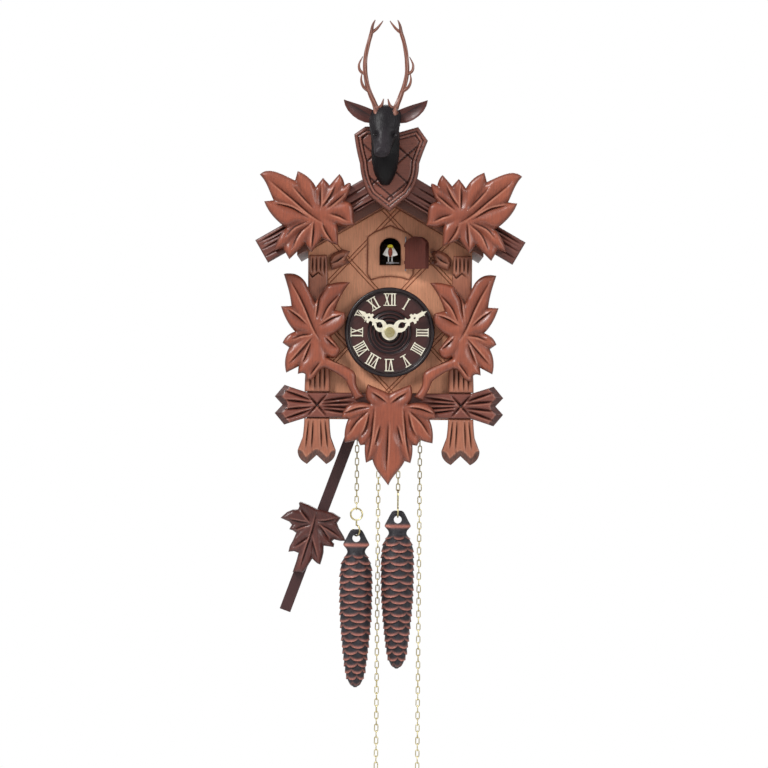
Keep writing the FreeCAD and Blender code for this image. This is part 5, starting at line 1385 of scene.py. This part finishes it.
def hook(face_on):
    """The S hook below a ring's centre: a closed ring, a shank and an open loop."""
    ring_points, ring_faces = closed_tube(ring_line(HOOK_RING), HOOK_WIRE)
    low = -HOOK_RING - 4.0 - HOOK_LOOP
    loop = [(0, -HOOK_LOOP * math.sin(a), low + HOOK_LOOP * math.cos(a))
            for a in np.radians(np.linspace(0, 285, 40))]
    line = [(0, 0, -HOOK_RING), (0, 0, -HOOK_RING - 2.0)] + loop
    bend_points, bend_faces = tube(smooth_line(line, 0.8), HOOK_WIRE, 10)
    return [(turned(ring_points, 0 if face_on else 90), ring_faces),
            (turned(bend_points, 38 if face_on else 0), bend_faces)]


def weight_chain(hand, body, count, face_on):
    """The loaded strand with its hook."""
    node = "weight_chain_" + hand
    low, high = mm_box(node)
    tail_low, tail_high = mm_box("chain_tail_" + hand)
    cone_low, cone_high = mm_box("weight_cone_" + hand)
    x, y = (cone_low[0] + cone_high[0]) / 2, (tail_low[1] + tail_high[1]) / 2
    parts = links(x, y, high[2], count)
    ring_z = high[2] - LINK_TALL - (count - 1) * PITCH + 0.8 - HOOK_RING + HOOK_WIRE
    parts += [(np.asarray(points) + [x, y, ring_z], faces) for points, faces in hook(face_on)]
    points, faces = joined(parts)
    piece(node + "_links", points, faces, FINISH["brass"], body, [node])


def chain_tail(hand, body, count):
    """The free strand with its end ring."""
    node = "chain_tail_" + hand
    low, high = mm_box(node)
    x, y = (low[0] + high[0]) / 2, (low[1] + high[1]) / 2
    ring_points, ring_faces = closed_tube(ring_line(4.2), 0.6)
    parts = links(x, y, high[2], count) + [(ring_points + [x, y, low[2] + 4.8], ring_faces)]
    points, faces = joined(parts)
    piece(node + "_links", points, faces, FINISH["brass"], body, [node])


weight_chain("left", "going_weight", 25, True)
weight_chain("right", "strike_weight", 22, False)
chain_tail("left", "going_tail", 68)
chain_tail("right", "strike_tail", 68)
print("chains:", 25 + 22 + 2 * 68, "links")

# %% [markdown]
# ## The stag
# The head is carved from one block: a long face, a brow, cheeks and a neck that swells into the shield.
# Sections along the head are lofted into closed tubes, a voxel remesh melts them together as a carver's
# rasp would, and the eyes, nostrils, mouth and hair cuts are then pressed into the surface.

# %% Head and neck
ears_low, ears_high = mm_box("stag_ears")
STAG_X = (ears_low[0] + ears_high[0]) / 2
STAG_FACE_Y = mm_box("shield")[0][1]
BROW_Z = 75.0


def stag_point(x, y, z):
    """A place on the stag from the middle of its brow; y is forward when negative."""
    return np.array([STAG_X + x, STAG_FACE_Y + y, BROW_Z + z])


def loft(sections, around=40):
    """A closed skin over (centre, half width, half height, tilt) sections; tilt is in degrees."""
    rings = []
    for centre, wide, tall, tilt in sections:
        angles = np.linspace(0, 2 * math.pi, around, endpoint=False)
        c, s = math.cos(math.radians(tilt)), math.sin(math.radians(tilt))
        over = np.array([0, -s, c])
        rings.append(centre + wide * np.cos(angles)[:, None] * np.array([1, 0, 0])
                     + tall * np.sin(angles)[:, None] * over)
    faces = grid_faces(len(sections), around)
    faces += [list(range(around))[::-1], [(len(sections) - 1) * around + i for i in range(around)]]
    return np.vstack(rings), faces


FACE_SECTIONS = [(-1, 12.5, 6.0, 4.0), (-4, 11.5, 10.4, 8.0), (-9, 8.0, 11.9, 10.4), (-13, 3.0, 11.8, 10.6),
                 (-16, -3.0, 10.6, 9.6), (-19, -9.0, 8.6, 8.2), (-22, -14.0, 7.0, 6.8), (-25.0, -18.0, 6.3, 5.6),
                 (-27.4, -20.6, 5.6, 4.6), (-28.6, -22.0, 3.6, 2.8)]
NECK_SECTIONS = [(0, -43, 3.0, 4.0), (-3, -38, 6.5, 7.0), (-6, -30, 9.4, 9.5), (-8, -20, 10.6, 10.5), (-8, -8, 10.9, 10.6),
                 (-7, 2, 10.0, 9.0), (-5, 8, 7.0, 6.0)]


MUZZLE_TURN = -3.0


def stag_loft(rows, tilt, turn=0.0):
    """Sections from (forward, up, half width, half height) rows; turn shifts the foremost aside."""
    fine = smooth_line(rows, 1.6)
    return loft([(stag_point(turn * max(0.0, (-y - 9) / 19), y, z), max(w, 0.6), max(t, 0.6), tilt)
                 for y, z, w, t in fine])


def melted(name, parts, voxel, passes):
    """Parts melted together by a voxel remesh and smoothing, as points and faces in millimetres."""
    points, faces = joined(parts)
    mesh = bpy.data.meshes.new(name)
    mesh.from_pydata((points * MM).tolist(), [], faces)
    thing = bpy.data.objects.new(name, mesh)
    bpy.context.scene.collection.objects.link(thing)
    remesh = thing.modifiers.new("melt", "REMESH")
    remesh.mode = "VOXEL"
    remesh.voxel_size = voxel * MM
    smooth = thing.modifiers.new("smooth", "SMOOTH")
    smooth.factor = 0.5
    smooth.iterations = passes
    graph = bpy.context.evaluated_depsgraph_get()
    result = bpy.data.meshes.new_from_object(thing.evaluated_get(graph))
    out = np.array([tuple(v.co) for v in result.vertices]) / MM
    out_faces = [list(p.vertices) for p in result.polygons]
    normals = np.array([tuple(v.normal) for v in result.vertices])
    bpy.data.objects.remove(thing)
    return out, out_faces, normals


def egg_at(centre, radii, rows=14, around=20):
    """A small egg with its poles up and down."""
    turns = np.linspace(0.01, math.pi - 0.01, rows)
    angles = np.linspace(0, 2 * math.pi, around, endpoint=False)
    points = [np.asarray(centre) + np.array([radii[0] * math.sin(t) * math.cos(a),
                                             radii[1] * math.sin(t) * math.sin(a), radii[2] * math.cos(t)])
              for t in turns for a in angles]
    faces = [face[::-1] for face in grid_faces(rows, around)]
    return np.array(points), faces + [list(range(around)), [(rows - 1) * around + i for i in range(around)][::-1]]


def press(points, normals, centre, radius, depth):
    """Move points near a centre along their normals; a negative depth presses in."""
    distance = np.linalg.norm(points - centre, axis=1)
    return points + normals * (depth * np.exp(-(distance / radius) ** 2))[:, None]


def surface_point(points, x, z):
    """The foremost place of a surface at x and z from the brow."""
    wanted = stag_point(x, 0, z)
    near = np.hypot(points[:, 0] - wanted[0], points[:, 2] - wanted[2]) < 1.0
    return np.array([wanted[0], points[near][:, 1].min(), wanted[2]])


def make_stag_head():
    """The carved head: melted lofts, then eyes, nostrils, mouth and hair."""
    points, faces, normals = melted("stag_block", [stag_loft(FACE_SECTIONS, 38, MUZZLE_TURN), stag_loft(NECK_SECTIONS, 90),
                                                   egg_at(stag_point(0, -9.5, 4.5), (11.3, 8.6, 9.2))], 0.6, 4)
    eyes = []
    for side in (-1, 1):
        eye = surface_point(points, side * 7.4 - 0.6, -6.5)
        points = press(points, normals, eye, 2.7, -1.5)
        points = press(points, normals, eye + (0, 0, 3.4), 2.0, 1.1)
        points = press(points, normals, surface_point(points, side * 5.0 - 2.0, -13.5), 2.4, -0.9)
        points = press(points, normals, surface_point(points, side * 3.4 + MUZZLE_TURN, -20.5), 1.3, 0.8)
        points = press(points, normals, surface_point(points, side * 2.7 + MUZZLE_TURN, -22.2), 1.0, -1.1)
        eyes.append(egg_at(surface_point(points, side * 7.4 - 0.6, -6.5) + (0, 0.7, 0), (1.9, 1.4, 1.25)))
    local = points - stag_point(0, 0, 0)
    mouth = np.exp(-((local[:, 2] + 24.6) / 0.6) ** 2) * (local[:, 1] < -19)
    points = points - normals * (0.8 * mouth)[:, None]
    fall = local[:, 2] * 0.35
    hair = np.sin(2.6 * local[:, 0] + fall + 1.3 * np.sin(0.55 * local[:, 2])) ** 2
    coat = np.clip((local[:, 1] + 24) / 8, 0.25, 1)
    points = points + normals * (0.34 * (hair - 0.5) * coat)[:, None]
    front = stag_point(0, -0.3, 0)[1]
    points[:, 1] = np.clip(points[:, 1], CAD_LOW.y / MM + 0.1, front + 0.3)
    # Painted shadow on the throat under the jaw, painted highlight on the muzzle and hair ridges, and painted shade
    # in the hair cuts and the mouth.
    shadow_under_jaw = np.clip((local[:, 1] + 20.5) / 2.5, 0, 1) * np.clip((-5 - local[:, 2]) / 5, 0, 1)
    muzzle_highlight = np.clip((-22.5 - local[:, 1]) / 4, 0, 1)
    highlight_and_rub = (np.clip(hair - 0.4, 0, 1) * 0.5 * coat + 0.35 * muzzle_highlight) * (1 - shadow_under_jaw)
    stain_and_shade = np.clip(np.maximum(np.clip(0.6 - hair, 0, 1), np.maximum(shadow_under_jaw, mouth)), 0, 1)
    piece("stag_head_carved", points, faces, FINISH["stag_wood"], "case", ["stag_head"],
          {"stain_and_shade": stain_and_shade, "highlight_and_rub": highlight_and_rub}, math.radians(80))
    eye_points, eye_faces = joined(eyes)
    piece("stag_eyes", eye_points, eye_faces, eye_black, "case")


eye_black = paint("eye_black", (18, 14, 16), (26, 20, 22), 0.12, 300.0, 0.5)
make_stag_head()
print("stag head done")

# %% Ears
EAR = [(0.0, 5.0, 5.0), (0.15, 4.6, 6.8), (0.35, 3.8, 7.6), (0.55, 2.8, 7.2), (0.75, 1.6, 5.6), (0.9, 0.8, 3.2),
       (1.0, 0.2, 0.4)]


def ear(side):
    """A cupped leaf that points up and outwards: straight above, full below."""
    root, tip = stag_point(side * 9.0, -7.5, 8.0), stag_point(side * 31.8, -9.5, 21.2)
    along = tip - root
    length = np.linalg.norm(along)
    along = along / length
    down = np.cross(along, (0, 1, 0)) * -side
    across = np.linspace(-1, 1, 17)
    shares = np.linspace(0, 1, 28)
    above = np.interp(shares, [row[0] for row in EAR], [row[1] for row in EAR])
    below = np.interp(shares, [row[0] for row in EAR], [row[2] for row in EAR])
    sheets = []
    for thick in (-0.9, 0.9):
        for share, up, low in zip(shares, above, below):
            cup = 2.6 * (across ** 2 - 0.6) * math.sin(math.pi * min(share + 0.1, 1))
            fold = thick * np.sqrt(np.clip(1 - across ** 4, 0.02, 1))
            reach = np.where(across > 0, low, up) * across
            sheets.append(root + along * length * share + down * reach[:, None]
                          + np.array([0, 1, 0]) * (-cup + fold)[:, None])
    rows, columns = len(shares), len(across)
    faces = grid_faces(rows, columns, closed=False)
    shift = rows * columns
    faces = [face[::-1] for face in faces] + [[shift + i for i in face] for face in faces]
    for r in range(rows - 1):
        for c in (0, columns - 1):
            a, b = r * columns + c, (r + 1) * columns + c
            faces.append([a, b, shift + b, shift + a] if c else [b, a, shift + a, shift + b])
    for r in (0, rows - 1):
        for c in range(columns - 1):
            a, b = r * columns + c, r * columns + c + 1
            faces.append([a, b, shift + b, shift + a] if r == 0 else [b, a, shift + a, shift + b])
    points = np.vstack(sheets)
    if side < 0:
        faces = [face[::-1] for face in faces]
    # Darker towards the middle of the ear's hollow: painted shade.
    hollow = np.exp(-((across - 0.12) / 0.34) ** 2) * (0.75 + 0.25 * np.cos(14 * across))
    inner = np.concatenate([hollow * math.sin(math.pi * min(0.12 + 0.8 * share, 1)) for share in shares])
    return points, faces, np.tile(inner, 2)


def make_ears():
    """Both ears, brown outside and darker in the hollow, a painted shade."""
    left, right = ear(-1), ear(1)
    points, faces = joined([left[:2], right[:2]])
    stain_and_shade = np.concatenate([left[2], right[2]])
    ear_wood = wood("ear_wood", (98, 48, 40), (20, 13, 16), (140, 84, 72), ALONG_X, gloss=0.3)
    piece("stag_ears_carved", points, faces, ear_wood, "case", ["stag_ears"],
          {"stain_and_shade": stain_and_shade, "highlight_and_rub": np.zeros(len(stain_and_shade))})


make_ears()

# %% [markdown]
# ### Antlers
# Each antler is one curved beam with tines that leave it at a slant. A smooth line through a few places
# gives the curve, the radius falls towards every tip, and shallow ridges run along the horn.

# %% Beams and tines
BEAM = [(6.5, 0, 12.5, 2.5), (9.0, 0, 19, 2.0), (11.5, 0, 25, 1.8), (14.5, 0, 34, 1.7), (16, 0, 44, 1.65),
        (15.5, 0, 55, 1.6), (13.5, 0, 65, 1.5), (11.5, 0, 72, 1.4), (10.4, -1, 78, 1.0), (8.6, -1, 82.2, 0.35)]
TINES = [
    [(11.3, 0, 72.5, 1.25), (7.5, 0.8, 75.5, 1.05), (4.6, 1, 79.0, 0.7), (2.6, 1, 81.8, 0.3)],
    [(12.5, 0, 27.5, 1.3), (17.0, -1.6, 31.0, 1.15), (18.9, -2.4, 36.0, 0.85), (18.4, -3, 41.5, 0.3)],
    [(15.9, 0, 41.0, 1.3), (19.8, 0.8, 43.5, 1.1), (20.6, 1, 48.5, 0.8), (17.8, 1, 54.5, 0.3)],
    [(7.6, -1.5, 14.5, 1.6), (5.4, -5.0, 14.6, 1.5), (3.0, -7.0, 17.0, 1.1), (1.6, -7.6, 21.5, 0.35)]]


def limb(path, side):
    """One beam or tine as a ridged tube, darker between its ridges as painted shade and darker near its tip, with a
    painted highlight on the ridges.
    """
    fine = smooth_line(path, 0.8)
    line = np.array([stag_point(side * x, -9 + y, z) for x, y, z, _ in fine])
    points, faces = tube(line, np.maximum(fine[:, 3], 0.25), 18)
    angle = np.tile(np.arange(18), len(line))
    along = np.repeat(np.arange(len(line)), 18)
    ridge = np.cos(angle * 2 * math.pi / 18 * 5 + 0.22 * along)
    middle = line[along]
    points = middle + (points - middle) * (1 + 0.09 * ridge)[:, None]
    share = along / len(line)
    # Painted shade between the ridges, a darker tip, and a painted highlight on the ridges.
    return points, faces, np.clip(0.45 - 0.5 * ridge, 0, 1) * 0.8 + 0.35 * (share > 0.85), np.clip(ridge, 0, 1) * 0.4


def make_antlers():
    """Both antlers with their burrs."""
    parts, stain_and_shade, highlight_and_rub = [], [], []
    for side in (-1, 1):
        burr = [(5.2, -7, 7.0, 2.0), (5.3, -6.4, 8.6, 3.6), (5.7, -5, 10.8, 3.9), (6.3, -3, 12.8, 3.2),
                (6.9, -0.5, 14.8, 2.2)]
        for path in [BEAM, burr] + TINES:
            points, faces, dark, light = limb(path, side)
            parts.append((points, faces if side > 0 else [f[::-1] for f in faces]))
            stain_and_shade.append(dark)
            highlight_and_rub.append(light)
    points, faces = joined(parts)
    piece("antlers_carved", points, faces, FINISH["antler_wood"], "case", ["antlers"],
          {"stain_and_shade": np.clip(np.concatenate(stain_and_shade), 0, 1), "highlight_and_rub": np.concatenate(highlight_and_rub)})


make_antlers()
print("antlers done")

# %% [markdown]
# ## Bird
# The bird is a few millimetres high: a brown breast, a yellow head, a red beak and two white wings that
# stand out like a cape. Lofted eggs and bent wing plates are enough to read at that size.

# %% Bird
bird_low, bird_high = mm_box("bird")
BIRD_X = (bird_low[0] + bird_high[0]) / 2
BIRD_FOOT = bird_low[2]
BIRD_FRONT = bird_low[1] + 3.0
BIRD_COLOURS = {
    "bird_wings": paint("wing_white", (240, 238, 232), (214, 212, 206)),
    "bird_head": paint("head_yellow", (206, 198, 40), (170, 156, 28)),
    "bird_breast": paint("breast_brown", (150, 66, 40), (104, 42, 28)),
    "bird_legs": paint("leg_white", (226, 226, 224), (190, 190, 188)),
}


def egg(centre, radii, rows=20, around=28, pinch=0.0):
    """An egg about a centre, narrower at its top when pinched."""
    points = []
    for t in np.linspace(0.001, math.pi - 0.001, rows):
        narrow = 1 - pinch * math.cos(t)
        for a in np.linspace(0, 2 * math.pi, around, endpoint=False):
            points.append((centre[0] + radii[0] * narrow * math.sin(t) * math.cos(a),
                           centre[1] + radii[1] * narrow * math.sin(t) * math.sin(a),
                           centre[2] + radii[2] * math.cos(t)))
    faces = [face[::-1] for face in grid_faces(rows, around)]
    return np.array(points), faces + [list(range(around)), [(rows - 1) * around + i for i in range(around)][::-1]]


def wing(side):
    """A bent plate with a scalloped lower edge, hung from the shoulder."""
    columns, rows = 15, 18
    sheets = []
    for thick in (-0.35, 0.35):
        for v in np.linspace(0, 1, rows):
            for u in np.linspace(0, 1, columns):
                out = (0.9 + 4.4 * v ** 0.8) * u + 0.5
                drop = 8.2 * v * (1 - 0.18 * u ** 2) + 0.25 * v * abs(math.sin(3 * math.pi * u))
                sheets.append((BIRD_X + side * out, BIRD_FRONT + 0.9 + 1.6 * u ** 2 + thick,
                               BIRD_FOOT + 12.6 - drop))
    faces = grid_faces(rows, columns, closed=False)
    shift = rows * columns
    faces = faces + [[shift + i for i in face][::-1] for face in faces]
    border = [(r * columns, (r + 1) * columns) for r in range(rows - 1)]
    border += [((r + 1) * columns + columns - 1, r * columns + columns - 1) for r in range(rows - 1)]
    border += [(c + 1, c) for c in range(columns - 1)]
    border += [((rows - 1) * columns + c, (rows - 1) * columns + c + 1) for c in range(columns - 1)]
    faces += [[a, b, shift + b, shift + a] for a, b in border]
    if side > 0:
        faces = [face[::-1] for face in faces]
    return np.array(sheets), faces


bird_parts = {
    "bird_breast": [egg((BIRD_X, BIRD_FRONT + 1.6, BIRD_FOOT + 7.6), (1.9, 2.6, 3.9)),
                    tube([(BIRD_X, BIRD_FRONT - 0.2, BIRD_FOOT + 10.9), (BIRD_X, BIRD_FRONT - 1.6, BIRD_FOOT + 10.5),
                          (BIRD_X, BIRD_FRONT - 2.7, BIRD_FOOT + 10.2)], [1.0, 0.6, 0.15], 12)],
    "bird_head": [egg((BIRD_X, BIRD_FRONT + 0.8, BIRD_FOOT + 11.9), (2.35, 2.3, 1.75))],
    "bird_wings": [wing(-1), wing(1)],
    "bird_legs": [tube([(BIRD_X + x, BIRD_FRONT + 1.4, BIRD_FOOT + z) for z in (0.2, 1.5, 3.0, 4.6)], 0.42, 10)
                  for x in (-1.4, 1.4)],
}
for name, parts in bird_parts.items():
    points, faces = joined(parts)
    thing = piece(name, points, faces, BIRD_COLOURS[name], "bird_body",
                  ["bird"] if name == "bird_wings" else ())
print("bird pieces:", len(bird_parts))

# %% [markdown]
# ## The CAD pieces that stay
# Boards, wheels, plates and pins already have their true shape. A weld and a small bevel break their sharp
# arrises so that they catch the light, and each takes the finish of its slot in the record.

# %% Finishes for the kept nodes
BEVELS = {"gong_coil": 0.0, "chain_wraps": 0.0, "great_wheel_left": 0.05, "great_wheel_right": 0.05,
          "escape_wheel": 0.05, "minute_wheel": 0.05, "hour_wheel": 0.05, "minute_arbor": 0.05,
          "dial_numerals": 0.12, "bird_carriage": 0.05, "bird_door_wire": 0.05, "hand_nut": 0.35}
USUAL_BEVEL = 0.35

kept = 0
for row in frame["record"]["subparts"]:
    node = frame["nodes"][row["node"]]
    if node.hide_render:
        continue
    node.data.materials.clear()
    node.data.materials.append(FINISH[row["material_slot"]])
    width = BEVELS.get(row["node"], USUAL_BEVEL)
    weld = node.modifiers.new("weld", "WELD")
    weld.merge_threshold = 0.002 * MM
    if width:
        bevel = node.modifiers.new("arris", "BEVEL")
        bevel.width = width * MM
        bevel.segments = 2
        bevel.limit_method = "ANGLE"
        bevel.angle_limit = math.radians(40)
        bevel.harden_normals = True
    kept += 1
print("kept CAD nodes:", kept)
